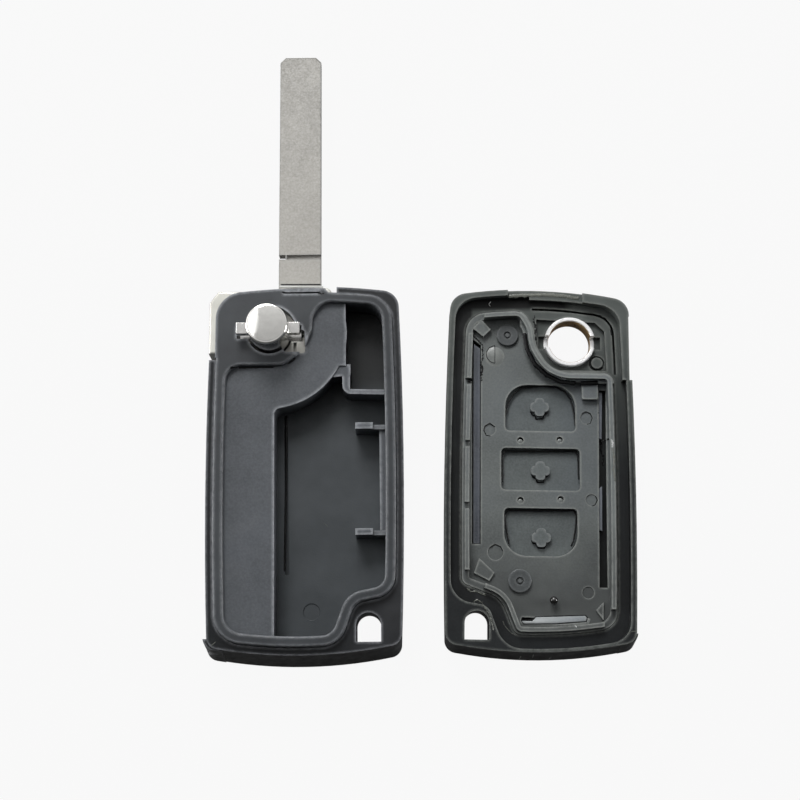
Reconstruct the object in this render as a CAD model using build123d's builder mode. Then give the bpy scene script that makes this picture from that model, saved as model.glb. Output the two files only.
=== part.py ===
from build123d import *
import math
import os

# Flip key remote shell, opened into its two halves. Both halves lie on their outer faces with the
# inner faces up. Each half is drawn in its own frame, X to the right, Y towards the blade end, and is
# then placed beside the other one. All sizes are in millimetres.

os.makedirs("parts", exist_ok=True)

# Where the halves lie
REAR_X = -22.55
REAR_Y = -24.48
REAR_TURN = 0.7
FRONT_X = 23.25
FRONT_Y = -24.18
FRONT_TURN = -1.0

# Outlines of the two halves: half widths at the top, in the middle and at the bottom
REAR_WIDTHS = (18.45, 19.15, 18.35)
REAR_MIDDLE = 0.08
FRONT_WIDTHS = (17.8, 18.6, 18.2)
FRONT_MIDDLE = 0.13
TOP_Y = 35.8
REAR_TOP_DROPS = (1.4, 1.4)
FRONT_TOP_DROPS = (1.5, 2.1)
REAR_RIM_BOTTOM_Y = -36.5
REAR_FOOT_Y = -38.35
REAR_RISES = (1.7, 2.0)
FRONT_RIM_BOTTOM_Y = -36.1
FRONT_FOOT_Y = -37.4
FRONT_RISES = (1.5, 2.3)
TOP_CORNER_R = 3.5
BOTTOM_CORNER_R = 2.4
REAR_KEYRING_EDGE = ((22, -24.5), (9.75, -26.95), (5.0, -40))
FRONT_KEYRING_EDGE = ((-22, -25.6), (-9.9, -27.45), (-5.2, -40))
WELL_KEYRING_EDGE = ((-22, -20.5), (-7.4, -25.9), (-1.9, -40))
FACE_EDGE_R = 1.3
STEP_Y = -33.2
STEP_IN = 3.0
STEP_DROP = 0.5
REAR_STEP_OUT = 0.75
FRONT_STEP_OUT = 0.3
KEYRING_R = 2.35

# Levels of the rear half
REAR_FLOOR = 2.0
REAR_RIM_Z = 9.5
LIP_Z = 11.0
TRAY_Z = 9.8
CAVITY_Z = 3.5
LEDGE = 1.4
LIP_WIDTH = 2.1
LIP_TOP_R = 5.3
LIP_LOW_R = 5.8
LIP_EDGE_R = 0.4
ROOF_EDGE = 0.8
ROOF_LEFT = 17.45
ROOF_CORNER_R = 5.4
SIDE_OPEN_Y = 20.9
TRAY_FIT = 0.1
SEAT_GAP = 0.06

# Flip mechanism, about the pivot
PIVOT_X = -6.9
PIVOT_Y = 26.1
POCKET_R = 14.2
POCKET_WALL = 1.0
HEAD_SIDE_GAP = 0.2
HEAD_THICK = 6.0
HEAD_GAP = 0.15
HEAD_LEFT = 12.2
HEAD_RIGHT = 12.2
HEAD_TOP = 9.9
HEAD_LOW = 5.4
HEAD_WAIST_R = 8.7
HEAD_CORNER_R = 1.4
NOTCH_X = 4.9
NOTCH_Y = -1.9
BARREL_R = 4.05
BORE_GAP = 0.2
BARREL_WALL = 0.85
BARREL_TOP_Z = 17.0
BUTTON_TRAVEL = 1.2
LUG_REACH = 6.15
LUG_WIDTH = 2.2
LUG_TOP_Z = 13.9
LUG_TALL = 1.55
LOWER_LUG_TALL = 3.8
OPENING_GAP = 0.35
OPENING_WIDE_R = 5.4

# Blade
BLADE_WIDTH = 8.5
BLADE_OFFSET = 5.65
BLADE_THICK = 2.2
BLADE_REACH = 61.2
BLADE_FIT = 0.05
ROOT_RISE = 5.2
TANG_RISE = 1.8
TANG_GAP = 1.6
PIN_R = 0.8

# Levels of the front half
FRONT_FLOOR = 1.4
FRONT_RIM_Z = 6.5
GROOVE_Z = 4.3
RIM_WIDTH = 1.15
GROOVE_WIDTH = 2.15
GROOVE_DROP = 0.5
WELL_TOP_DROP = 0.5
RIM_TOP_R = 4.4
RIM_LOW_R = 4.2
WELL_TOP_R = 4.4
WELL_LOW_R = 4.0
HUB_RIM = 1.9
HUB_SIDE_Y = 17.4
HUB_SIDE_X = 17.93
HUB_SLOT_IN = 2.8
HUB_SLOT_WIDTH = 0.45
HUB_SLOT_DEEP = 1.2
HUB_DROP = 0.8
HUB_BAND = 2.2
FRAME_FIT = 0.1
FRAME_FLANGE = 0.5
RIDGE_WIDTH = 0.9
RIDGE_Z = 6.0
PLATE_BOTTOM_Z = 2.65
PLATE_Z = 3.4
RING_X = 6.4
RING_Y = 25.6
RING_R = 5.1
RING_FIT = 0.05
RING_BOTTOM_Z = 0.7
RING_TOP_Z = 4.7
RING_LIP = 0.45
KEY_FACE_Z = 0.25
KEY_GAP = 0.15
OPENING_INSET = 0.6
FLANGE_OVERLAP = 0.6
KEY_FLANGE_THICK = 0.6
KEY_TRAVEL = 0.5
WINDOW_X = 0.5
MARK_DEPTH = 0.15
PLUNGER_LONG = 3.7
PLUNGER_SHORT = 1.9
PLUNGER_R = 0.7
PLUNGER_TALL = 0.9

rear_turn = math.radians(REAR_TURN)
front_turn = math.radians(FRONT_TURN)
REAR = Plane(origin=(REAR_X, REAR_Y, 0), x_dir=(math.cos(rear_turn), math.sin(rear_turn), 0), z_dir=(0, 0, 1))
FRONT = Plane(origin=(FRONT_X, FRONT_Y, 0), x_dir=(math.cos(front_turn), math.sin(front_turn), 0), z_dir=(0, 0, 1))

def inset(area, amount):
    """The area made smaller all round, with its border redrawn as plain lines and arcs."""
    with BuildSketch(Plane.XY, mode=Mode.PRIVATE) as moved:
        offset(area, amount=-amount)
    with BuildSketch(Plane.XY, mode=Mode.PRIVATE) as redrawn:
        with BuildLine():
            for edge in moved.face().outer_wire().edges():
                if edge.geom_type == GeomType.LINE:
                    Line(edge @ 0, edge @ 1)
                else:
                    ThreePointArc(edge @ 0, edge @ 0.5, edge @ 1)
        make_face()
    return redrawn.sketch


def sharp_outline(widths, middle, top_y, drops, bottom_y, rises):
    """Outline of one half with sharp corners; drops and rises are those of its left and right corners."""
    top, centre, low = widths
    with BuildSketch(Plane.XY, mode=Mode.PRIVATE) as area:
        with BuildLine():
            ThreePointArc((middle - low, bottom_y + rises[0]), (middle, bottom_y), (middle + low, bottom_y + rises[1]))
            ThreePointArc((middle + low, bottom_y + rises[1]), (middle + centre, 0), (middle + top, top_y - drops[1]))
            ThreePointArc((middle + top, top_y - drops[1]), (middle, top_y), (middle - top, top_y - drops[0]))
            ThreePointArc((middle - top, top_y - drops[0]), (middle - centre, 0), (middle - low, bottom_y + rises[0]))
        make_face()
    return area.sketch


def rounded(area, top_r, low_r):
    """The outline with its two top and two bottom corners rounded."""
    with BuildSketch(Plane.XY, mode=Mode.PRIVATE) as soft:
        add(area)
        fillet(soft.vertices().sort_by(Axis.Y)[-2:], top_r)
        fillet(soft.vertices().sort_by(Axis.Y)[:2], low_r)
    return soft.sketch


def half_area(area, keyring_edge, radii):
    """The area without its keyring corner, which is cut off along a bent edge and rounded."""
    start, corner, end = keyring_edge
    with BuildSketch(Plane.XY, mode=Mode.PRIVATE) as cut:
        add(area)
        with BuildLine(mode=Mode.PRIVATE) as border:
            Polyline(start, corner, end, (start[0], end[1]), close=True)
        make_face(border.edges(), mode=Mode.SUBTRACT)
        inside = cut.vertices().filter_by(lambda v: v.Y < -20 and abs(v.X) < 18)
        on_first = inside.sort_by(lambda v: abs((v.X - start[0]) * (corner[1] - start[1])
                                                - (v.Y - start[1]) * (corner[0] - start[0])))[:2]
        side_end = on_first.sort_by_distance(start)[0]
        fillet(side_end, radii[0])
        fillet(cut.vertices().sort_by_distance(corner)[0], radii[1])
        second = cut.vertices().filter_by(lambda v: v.Y < corner[1] - 3)
        low_end = second.sort_by(lambda v: abs((v.X - end[0]) * (corner[1] - end[1])
                                               - (v.Y - end[1]) * (corner[0] - end[0])))[0]
        fillet(low_end, radii[2])
    return cut.sketch


# Outlines at the parting face and at the foot: the bottom end leans in towards the parting face
rear_sharp = sharp_outline(REAR_WIDTHS, REAR_MIDDLE, TOP_Y, REAR_TOP_DROPS, REAR_RIM_BOTTOM_Y, REAR_RISES)
rear_rim = rounded(rear_sharp, TOP_CORNER_R, BOTTOM_CORNER_R)
rear_foot = rounded(sharp_outline(REAR_WIDTHS, REAR_MIDDLE, TOP_Y, REAR_TOP_DROPS, REAR_FOOT_Y, REAR_RISES),
                    TOP_CORNER_R, BOTTOM_CORNER_R)
front_sharp = sharp_outline(FRONT_WIDTHS, FRONT_MIDDLE, TOP_Y, FRONT_TOP_DROPS, FRONT_RIM_BOTTOM_Y, FRONT_RISES)
front_rim = rounded(front_sharp, TOP_CORNER_R, BOTTOM_CORNER_R)
front_foot = rounded(sharp_outline(FRONT_WIDTHS, FRONT_MIDDLE, TOP_Y, FRONT_TOP_DROPS, FRONT_FOOT_Y, FRONT_RISES),
                     TOP_CORNER_R, BOTTOM_CORNER_R)

# Area inside the ledge of the rear half
rear_inner = half_area(rounded(inset(rear_sharp, LEDGE), LIP_TOP_R, LIP_LOW_R), REAR_KEYRING_EDGE, (4.5, 2.8, 5.0))

# Hub area at the top left of the rear half, with its S-shaped border
with BuildSketch() as hub_area:
    with BuildLine():
        Polyline((-25, 19.4), (-4.2, 19.4), (-0.3, 22.5), (1.5, 26.6), (1.6, 29.4), (3.9, 32.9), (3.9, 42),
                 (-25, 42), close=True)
    make_face()
    for corner, radius in (((-4.2, 19.4), 3.0), ((-0.3, 22.5), 4.0), ((1.5, 26.6), 4.0), ((1.6, 29.4), 3.0)):
        fillet(hub_area.vertices().sort_by_distance(corner)[0], radius)

# Lower tray face inside the lip
lip_inside = inset(rear_inner, LIP_WIDTH)
with BuildSketch() as tray_area:
    add(lip_inside)
    add(hub_area.sketch, mode=Mode.SUBTRACT)
    fillet(tray_area.vertices().sort_by_distance((-15.4, 19.4))[0], 3.0)
    fillet(tray_area.vertices().sort_by_distance((3.4, 32.2))[0], 3.4)

# Board and battery cavity
with BuildSketch() as cavity_area:
    add(tray_area.sketch)
    with BuildLine(mode=Mode.PRIVATE) as cavity_left:
        Polyline((-5.5, -45), (-5.9, 12.5), (-5.9, 19.4), (8.1, 19.4), (8.1, 45), (30, 45), (30, -45), close=True)
    make_face(cavity_left.edges(), mode=Mode.INTERSECT)
    with Locations((PIVOT_X, PIVOT_Y)):
        Circle(POCKET_R + POCKET_WALL, mode=Mode.SUBTRACT)
    fillet(cavity_area.vertices().sort_by_distance((-5.9, PIVOT_Y - POCKET_R - POCKET_WALL))[0], 1.3)

# Swept area of the head's free corner, open to the top and left, with its place at either end
sweep_r = math.hypot(HEAD_RIGHT, HEAD_TOP) + HEAD_SIDE_GAP
sweep_x = sweep_r * HEAD_RIGHT / math.hypot(HEAD_RIGHT, HEAD_TOP)
sweep_y = sweep_r * HEAD_TOP / math.hypot(HEAD_RIGHT, HEAD_TOP)
with BuildSketch() as sweep_area:
    with BuildLine():
        Line((PIVOT_X - sweep_x, PIVOT_Y - sweep_y), (PIVOT_X + sweep_x, PIVOT_Y + sweep_y))
        ThreePointArc((PIVOT_X + sweep_x, PIVOT_Y + sweep_y), (PIVOT_X - sweep_y, PIVOT_Y + sweep_x),
                      (PIVOT_X - sweep_x, PIVOT_Y - sweep_y))
    make_face()
    with Locations((PIVOT_X, PIVOT_Y - HEAD_LOW - HEAD_SIDE_GAP)):
        Rectangle(HEAD_RIGHT + HEAD_SIDE_GAP, HEAD_TOP + HEAD_LOW + 2 * HEAD_SIDE_GAP, align=(Align.MIN, Align.MIN))
    with Locations((PIVOT_X, PIVOT_Y + HEAD_LOW + HEAD_SIDE_GAP)):
        Rectangle(HEAD_RIGHT + HEAD_SIDE_GAP, HEAD_TOP + HEAD_LOW + 2 * HEAD_SIDE_GAP, align=(Align.MAX, Align.MAX))

head_bottom = REAR_FLOOR + HEAD_GAP
head_top = head_bottom + HEAD_THICK
pocket_top = head_top + HEAD_GAP
blade_bottom = head_bottom + (HEAD_THICK - BLADE_THICK) / 2
channel_right = PIVOT_X - BLADE_OFFSET + BLADE_WIDTH / 2 + 0.35
channel_end = PIVOT_Y - BLADE_REACH - 0.35

# Stepped corner of the rear shell beside the folded blade tip: the outline moved out a little
with BuildPart() as rear_step:
    with BuildSketch(REAR.offset(REAR_FLOOR)):
        add(rear_foot.moved(Location((-REAR_STEP_OUT, 0, 0))))
    with BuildSketch(REAR.offset(REAR_RIM_Z)):
        add(rear_rim.moved(Location((-REAR_STEP_OUT, 0, 0))))
    loft()
    with BuildSketch(REAR.offset(REAR_FLOOR)):
        with Locations((STEP_IN - REAR_WIDTHS[2], STEP_Y)):
            Rectangle(10, 10, align=(Align.MAX, Align.MAX))
    extrude(amount=REAR_RIM_Z - STEP_DROP - REAR_FLOOR, mode=Mode.INTERSECT)

# Rear shell
with BuildPart() as rear_shell:
    with BuildSketch(REAR):
        add(rear_foot)
    extrude(amount=REAR_FLOOR)
    fillet(rear_shell.faces().sort_by(Axis.Z)[0].edges(), FACE_EDGE_R)
    with BuildSketch(REAR.offset(REAR_FLOOR)):
        add(rear_foot)
    with BuildSketch(REAR.offset(REAR_RIM_Z)):
        add(rear_rim)
    loft()
    add(rear_step.part)
    # Room for the tray
    with BuildSketch(REAR.offset(REAR_FLOOR)):
        add(rear_inner)
    extrude(amount=REAR_RIM_Z, mode=Mode.SUBTRACT)
    # Pocket of the head, open to the left and to the top; lower down the rim stays whole above it
    with BuildSketch(REAR.offset(REAR_FLOOR)):
        with Locations((PIVOT_X, PIVOT_Y)):
            Circle(POCKET_R)
        add(sweep_area.sketch)
    extrude(amount=pocket_top - REAR_FLOOR, mode=Mode.SUBTRACT)
    with BuildSketch(REAR.offset(REAR_FLOOR)):
        with Locations((PIVOT_X, PIVOT_Y)):
            Circle(POCKET_R)
        add(sweep_area.sketch)
        with Locations((0, TOP_Y)):
            Rectangle(12.6, 4.6)
        with Locations((0, SIDE_OPEN_Y)):
            Rectangle(60, 30, align=(Align.CENTER, Align.MIN), mode=Mode.INTERSECT)
    extrude(amount=REAR_RIM_Z, mode=Mode.SUBTRACT)
    # Side slit and end relief for the folded blade
    with BuildSketch(REAR.offset(blade_bottom - 0.5)):
        with Locations((channel_right, PIVOT_Y)):
            Rectangle(16, PIVOT_Y - channel_end, align=(Align.MAX, Align.MAX))
    extrude(amount=BLADE_THICK + 1.0, mode=Mode.SUBTRACT)
    # Keyring hole
    with BuildSketch(REAR):
        with Locations((12.2, -31.0)):
            Circle(KEYRING_R)
            Rectangle(2 * KEYRING_R, 3.1, align=(Align.CENTER, Align.MAX))
    extrude(amount=20, mode=Mode.SUBTRACT)
rear_shell.part.label = "rear_shell"

# Inner tray
tray_outline = inset(rear_inner, TRAY_FIT)
with BuildSketch() as roof_area:
    add(inset(rear_sharp, ROOF_EDGE))
    with Locations((-ROOF_LEFT, SIDE_OPEN_Y + TRAY_FIT)):
        Rectangle(60, 30, align=(Align.MIN, Align.MIN), mode=Mode.INTERSECT)
    fillet(roof_area.vertices().sort_by_distance((-ROOF_LEFT, TOP_Y - ROOF_EDGE))[0], ROOF_CORNER_R)
    with Locations((PIVOT_X, PIVOT_Y)):
        Circle(POCKET_R - TRAY_FIT, mode=Mode.INTERSECT)
with BuildPart() as inner_tray:
    with BuildSketch(REAR.offset(REAR_FLOOR + SEAT_GAP)):
        add(tray_outline)
    extrude(amount=TRAY_Z - REAR_FLOOR - SEAT_GAP)
    # Lip round the tray and hub plateau
    with BuildSketch(REAR.offset(TRAY_Z)):
        add(tray_outline)
        add(tray_area.sketch, mode=Mode.SUBTRACT)
    extrude(amount=LIP_Z - TRAY_Z)
    lip_face = inner_tray.faces().filter_by(Axis.Z).sort_by(Axis.Z)[-1]
    fillet(lip_face.outer_wire().edges(), LIP_EDGE_R)
    # Roof over the head, out to the corner of the shell
    with BuildSketch(REAR.offset(pocket_top)):
        add(roof_area.sketch)
    extrude(amount=LIP_Z - pocket_top)
    with BuildSketch(REAR.offset(TRAY_Z)):
        add(tray_area.sketch)
    extrude(amount=5, mode=Mode.SUBTRACT)
    hub_face = inner_tray.faces().filter_by(Axis.Z).sort_by(Axis.Z)[-1]
    fillet(hub_face.inner_wires()[0].edges(), LIP_EDGE_R)
    # Head pocket and blade channel under the tray
    with BuildSketch(REAR.offset(REAR_FLOOR - 0.5)):
        with Locations((PIVOT_X, PIVOT_Y)):
            Circle(POCKET_R)
        add(sweep_area.sketch)
    extrude(amount=pocket_top - REAR_FLOOR + 0.5, mode=Mode.SUBTRACT)
    with BuildSketch(REAR.offset(blade_bottom - 0.6)):
        with Locations((channel_right, PIVOT_Y)):
            Rectangle(16, PIVOT_Y - channel_end, align=(Align.MAX, Align.MAX))
    extrude(amount=pocket_top - blade_bottom + 0.6, mode=Mode.SUBTRACT)
    # Cavity
    with BuildSketch(REAR.offset(CAVITY_Z)):
        add(cavity_area.sketch)
    extrude(amount=20, mode=Mode.SUBTRACT)
    # Bracket between the two cavity rooms, with its rounded inner corner
    with BuildSketch(REAR.offset(CAVITY_Z)) as bracket:
        Polygon((7.4, 13.8), (17.0, 13.5), (17.0, 14.5), (8.9, 14.7), (8.9, 18.9), (7.4, 18.9), align=None)
        fillet(bracket.vertices().sort_by_distance(REAR.from_local_coords((8.9, 14.7, 0)))[0], 1.8)
        Polygon((-1.0, 16.5), (9.0, 17.5), (9.0, 19.7), (-1.0, 19.7), align=None)
        add(cavity_area.sketch, mode=Mode.INTERSECT)
    extrude(amount=REAR_RIM_Z - CAVITY_Z)
    # Two ribs on the right wall, each with a lower foot
    with BuildSketch(REAR.offset(CAVITY_Z)):
        with Locations((11.6, 7.4), (11.5, -13.3)):
            Rectangle(3.4, 1.25)
    extrude(amount=REAR_RIM_Z - CAVITY_Z)
    with BuildSketch(REAR.offset(CAVITY_Z)):
        with Locations((14.2, 7.2), (14.1, -13.5)):
            Rectangle(3.2, 0.9)
    extrude(amount=REAR_RIM_Z - CAVITY_Z - 0.8)
    # Strip along the right wall between the ribs
    with BuildSketch(REAR.offset(CAVITY_Z)):
        with Locations((15.2, -3.1)):
            Rectangle(1.3, 20.6)
    extrude(amount=4.6)
    # Narrow slot in the floor beside the channel wall
    with BuildSketch(REAR.offset(CAVITY_Z)):
        with Locations(Location((-3.9, -5.0, 0), (0, 0, 0.7))):
            Rectangle(0.65, 31.6)
    extrude(amount=-0.9, mode=Mode.SUBTRACT)
    # Ejector mark on the cavity floor
    with BuildSketch(REAR.offset(CAVITY_Z)):
        with Locations((1.1, -28.0)):
            Circle(1.6)
    extrude(amount=-MARK_DEPTH, mode=Mode.SUBTRACT)
    # Thin slit at the top edge of the hub plateau
    with BuildSketch(REAR.offset(LIP_Z)):
        with Locations((-0.5, TOP_Y - 1.75)):
            Rectangle(7.4, 0.35)
    extrude(amount=-0.5, mode=Mode.SUBTRACT)
    # Opening round the barrel: slots for the lugs to pass, a wider part at the right and the side notch
    with BuildSketch(REAR.offset(pocket_top - 0.5)):
        with Locations((PIVOT_X, PIVOT_Y)):
            Circle(OPENING_WIDE_R)
            Polygon((0, -2.4), (9, -2.4), (9, 9), (2.4, 9), (0, 0), align=None, mode=Mode.INTERSECT)
        with Locations((PIVOT_X, PIVOT_Y)):
            Circle(BARREL_R + OPENING_GAP)
            Rectangle(2 * (LUG_REACH + 0.2), LUG_WIDTH + 0.5)
        with Locations((PIVOT_X + NOTCH_X, PIVOT_Y + NOTCH_Y)):
            RectangleRounded(4.2, 4.4, 0.5)
    extrude(amount=5, mode=Mode.SUBTRACT)
inner_tray.part.label = "inner_tray"

# Flip head
blade_left = PIVOT_X + BLADE_OFFSET - BLADE_WIDTH / 2
blade_right = blade_left + BLADE_WIDTH
tang_left = PIVOT_X + BARREL_R + TANG_GAP
tang_low = PIVOT_Y + TANG_RISE
root_y = PIVOT_Y + ROOT_RISE
pin_x = (tang_left + blade_right) / 2
pin_y = PIVOT_Y + TANG_RISE + 1.8
with BuildPart() as flip_head:
    with BuildSketch(REAR.offset(head_bottom)):
        with Locations((PIVOT_X, PIVOT_Y)):
            Circle(POCKET_R - HEAD_SIDE_GAP)
            with Locations((-HEAD_LEFT, 0)):
                Rectangle(10, 60, align=(Align.MAX, Align.CENTER), mode=Mode.SUBTRACT)
            with Locations((0, 9.3)):
                Rectangle(60, 20, align=(Align.CENTER, Align.MIN), mode=Mode.SUBTRACT)
            with Locations((0, -3.6)):
                Rectangle(60, 20, align=(Align.CENTER, Align.MAX), mode=Mode.SUBTRACT)
            Circle(HEAD_WAIST_R)
            with Locations((0.9, -HEAD_LOW)):
                RectangleRounded(HEAD_RIGHT - 0.9, HEAD_TOP + HEAD_LOW, HEAD_CORNER_R, align=(Align.MIN, Align.MIN))
    extrude(amount=HEAD_THICK)
    outer_edges = flip_head.faces().filter_by(Axis.Z).edges()
    fillet(outer_edges, 0.4)
    # Bore with two slots for the lugs of the barrel
    with BuildSketch(REAR.offset(head_bottom - 1)):
        with Locations((PIVOT_X, PIVOT_Y)):
            Circle(BARREL_R + BORE_GAP)
            Rectangle(2 * (LUG_REACH + 0.2), LUG_WIDTH + 0.3)
    extrude(amount=HEAD_THICK + 2, mode=Mode.SUBTRACT)
    # Slot for the blade root
    with BuildSketch(REAR.offset(blade_bottom - BLADE_FIT)):
        with Locations((blade_left - BLADE_FIT, root_y - BLADE_FIT)):
            Rectangle(BLADE_WIDTH + 2 * BLADE_FIT, 12, align=(Align.MIN, Align.MIN))
        with Locations((tang_left - BLADE_FIT, tang_low - BLADE_FIT)):
            Rectangle(blade_right - tang_left + 2 * BLADE_FIT, 8, align=(Align.MIN, Align.MIN))
    extrude(amount=BLADE_THICK + 2 * BLADE_FIT, mode=Mode.SUBTRACT)
    # Pin hole
    with BuildSketch(REAR.offset(head_bottom - 1)):
        with Locations((pin_x, pin_y)):
            Circle(PIN_R + 0.02)
    extrude(amount=HEAD_THICK + 2, mode=Mode.SUBTRACT)
    # Groove in the top face, seen through the tray's notch
    with BuildSketch(REAR.offset(head_top)):
        with Locations((PIVOT_X + NOTCH_X, PIVOT_Y + NOTCH_Y - 1.3)):
            Rectangle(0.55, 3.6)
        with Locations((PIVOT_X + NOTCH_X + 1.7, PIVOT_Y + NOTCH_Y + 1.7)):
            Rectangle(3.8, 0.5)
    extrude(amount=-0.8, mode=Mode.SUBTRACT)
flip_head.part.label = "flip_head"

# Key blade
tip_y = PIVOT_Y + BLADE_REACH
with BuildPart() as key_blade:
    with BuildSketch(REAR.offset(blade_bottom)) as blade_face:
        Polygon((blade_left, root_y), (tang_left, root_y), (tang_left, tang_low), (blade_right, tang_low),
                (blade_right, tip_y), (blade_left, tip_y), align=None)
        chamfer(blade_face.vertices().group_by(Axis.Y)[-1], 1.1)
    extrude(amount=BLADE_THICK)
    # Bevel at the tip
    tip_edges = key_blade.edges().filter_by(lambda e: e.center().Y > REAR.from_local_coords((0, tip_y - 1.3, 0)).Y)
    tip_flat = tip_edges.filter_by(lambda e: abs(e.center().Z - blade_bottom - BLADE_THICK / 2) > 0.9)
    chamfer(tip_flat, 0.45)
    # Cross groove near the root on both faces, and the open notch at its left end
    with BuildSketch(REAR.offset(blade_bottom + BLADE_THICK)):
        with Locations((blade_right, PIVOT_Y + 17.0)):
            Rectangle(6.9, 0.9, align=(Align.MAX, Align.CENTER))
    extrude(amount=-0.6, mode=Mode.SUBTRACT)
    with BuildSketch(REAR.offset(blade_bottom)):
        with Locations((blade_left, PIVOT_Y + 17.0)):
            Rectangle(1.3, 0.9, align=(Align.MIN, Align.CENTER))
    extrude(amount=BLADE_THICK, mode=Mode.SUBTRACT)
    # Pin hole
    with BuildSketch(REAR.offset(blade_bottom)):
        with Locations((pin_x, pin_y)):
            Circle(PIN_R + 0.02)
    extrude(amount=BLADE_THICK, mode=Mode.SUBTRACT)
key_blade.part.label = "key_blade"

# Roll pin
with BuildPart() as blade_pin:
    with BuildSketch(REAR.offset(head_bottom + 0.1)):
        with Locations((pin_x, pin_y)):
            Circle(PIN_R)
            Circle(PIN_R - 0.3, mode=Mode.SUBTRACT)
            Rectangle(PIN_R * 2, 0.25, align=(Align.MIN, Align.CENTER), mode=Mode.SUBTRACT)
    extrude(amount=HEAD_THICK - 0.2)
blade_pin.part.label = "blade_pin"

# Release button: a barrel hollow from below, with two lugs above the roof and two in the head's slots
barrel_bottom = REAR_FLOOR + BUTTON_TRAVEL + 0.4
barrel_roof = BARREL_TOP_Z - 1.4
with BuildPart() as release_button:
    with BuildSketch(REAR.offset(barrel_bottom)):
        with Locations((PIVOT_X, PIVOT_Y)):
            Circle(BARREL_R)
    extrude(amount=BARREL_TOP_Z - barrel_bottom)
    fillet(release_button.faces().sort_by(Axis.Z)[-1].edges(), 0.45)
    with BuildSketch(REAR.offset(LUG_TOP_Z)):
        with Locations((PIVOT_X, PIVOT_Y)):
            Rectangle(2 * LUG_REACH, LUG_WIDTH)
    extrude(amount=-LUG_TALL)
    with BuildSketch(REAR.offset(barrel_bottom + 0.5)):
        with Locations((PIVOT_X, PIVOT_Y)):
            Rectangle(2 * LUG_REACH, LUG_WIDTH)
    extrude(amount=LOWER_LUG_TALL)
    with BuildSketch(REAR.offset(barrel_bottom)):
        with Locations((PIVOT_X, PIVOT_Y)):
            Circle(BARREL_R - BARREL_WALL)
    extrude(amount=barrel_roof - barrel_bottom, mode=Mode.SUBTRACT)
release_button.part.label = "release_button"

# Spring inside the barrel
WIRE_R = 0.35
COIL_R = 2.55
spring_low = REAR_FLOOR + 0.02 + WIRE_R
spring_high = barrel_roof - 0.02 - WIRE_R
coil_plane = Plane(origin=REAR.from_local_coords((PIVOT_X, PIVOT_Y, spring_low)), x_dir=REAR.x_dir, z_dir=(0, 0, 1))
with BuildPart() as flip_spring:
    with BuildLine(coil_plane) as coil:
        Helix(pitch=(spring_high - spring_low) / 7, height=spring_high - spring_low, radius=COIL_R)
    with BuildSketch(Plane(origin=coil.line @ 0, z_dir=coil.line % 0)):
        Circle(WIRE_R)
    sweep()
flip_spring.part.label = "flip_spring"

# Area inside the rim of the front half: thin at the bottom, wider beside the hub
groove_sharp = sharp_outline(FRONT_WIDTHS, FRONT_MIDDLE, TOP_Y, FRONT_TOP_DROPS, FRONT_RIM_BOTTOM_Y - GROOVE_DROP,
                             FRONT_RISES)
with BuildSketch() as front_inner:
    add(half_area(rounded(inset(groove_sharp, RIM_WIDTH), RIM_TOP_R, RIM_LOW_R), FRONT_KEYRING_EDGE, (4.5, 2.8, 5.0)))
    with Locations((-1.8, HUB_SIDE_Y)):
        Rectangle(30, 30, align=(Align.MIN, Align.MIN), mode=Mode.SUBTRACT)
with BuildSketch() as hub_inner:
    add(rounded(inset(front_sharp, HUB_RIM), RIM_TOP_R, RIM_LOW_R))
    with Locations((-1.8, HUB_SIDE_Y)):
        Rectangle(30, 30, align=(Align.MIN, Align.MIN), mode=Mode.INTERSECT)

# Area of the hub recess in the top right of the front half, with its S-shaped border
with BuildSketch() as hub_recess:
    with BuildLine():
        Polyline((-3.6, 42), (-3.6, 33.0), (-0.75, 28.2), (-0.45, 24.6), (2.0, 20.6), (4.9, 19.2), (25, 19.2),
                 (25, 42), close=True)
    make_face()
    for corner, radius in (((-0.75, 28.2), 7.0), ((-0.45, 24.6), 7.0), ((2.0, 20.6), 5.3), ((4.9, 19.2), 6.5)):
        fillet(hub_recess.vertices().sort_by_distance(corner)[0], radius)
well_sharp = sharp_outline(FRONT_WIDTHS, FRONT_MIDDLE, TOP_Y - WELL_TOP_DROP, FRONT_TOP_DROPS, FRONT_RIM_BOTTOM_Y,
                           FRONT_RISES)
with BuildSketch() as hub_slot:
    add(rounded(inset(well_sharp, HUB_SLOT_IN), RIM_TOP_R, RIM_LOW_R))
    add(rounded(inset(well_sharp, HUB_SLOT_IN + HUB_SLOT_WIDTH), RIM_TOP_R - HUB_SLOT_WIDTH, RIM_LOW_R),
        mode=Mode.SUBTRACT)
    with Locations((-1.2, 19.0)):
        Rectangle(30, 30, align=(Align.MIN, Align.MIN), mode=Mode.INTERSECT)

# Well that takes the frame
well_border = half_area(rounded(inset(well_sharp, RIM_WIDTH + GROOVE_WIDTH), WELL_TOP_R, WELL_LOW_R),
                        WELL_KEYRING_EDGE, (1.7, 4.9, 1.8))
with BuildSketch() as well_area:
    add(well_border)
    add(hub_recess.sketch, mode=Mode.SUBTRACT)
    fillet(well_area.vertices().sort_by_distance((15.1, 19.2))[0], 2.2)
    fillet(well_area.vertices().sort_by_distance((-2.95, 31.9))[0], 3.0)

# Face of the frame inside its ridge
frame_outline = inset(well_area.sketch, FRAME_FIT)
ridge_outline = inset(well_area.sketch, FRAME_FIT + FRAME_FLANGE)
ridge_inner = inset(well_area.sketch, FRAME_FIT + FRAME_FLANGE + RIDGE_WIDTH)
hub_band_area = inset(hub_recess.sketch, -HUB_BAND)

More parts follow.
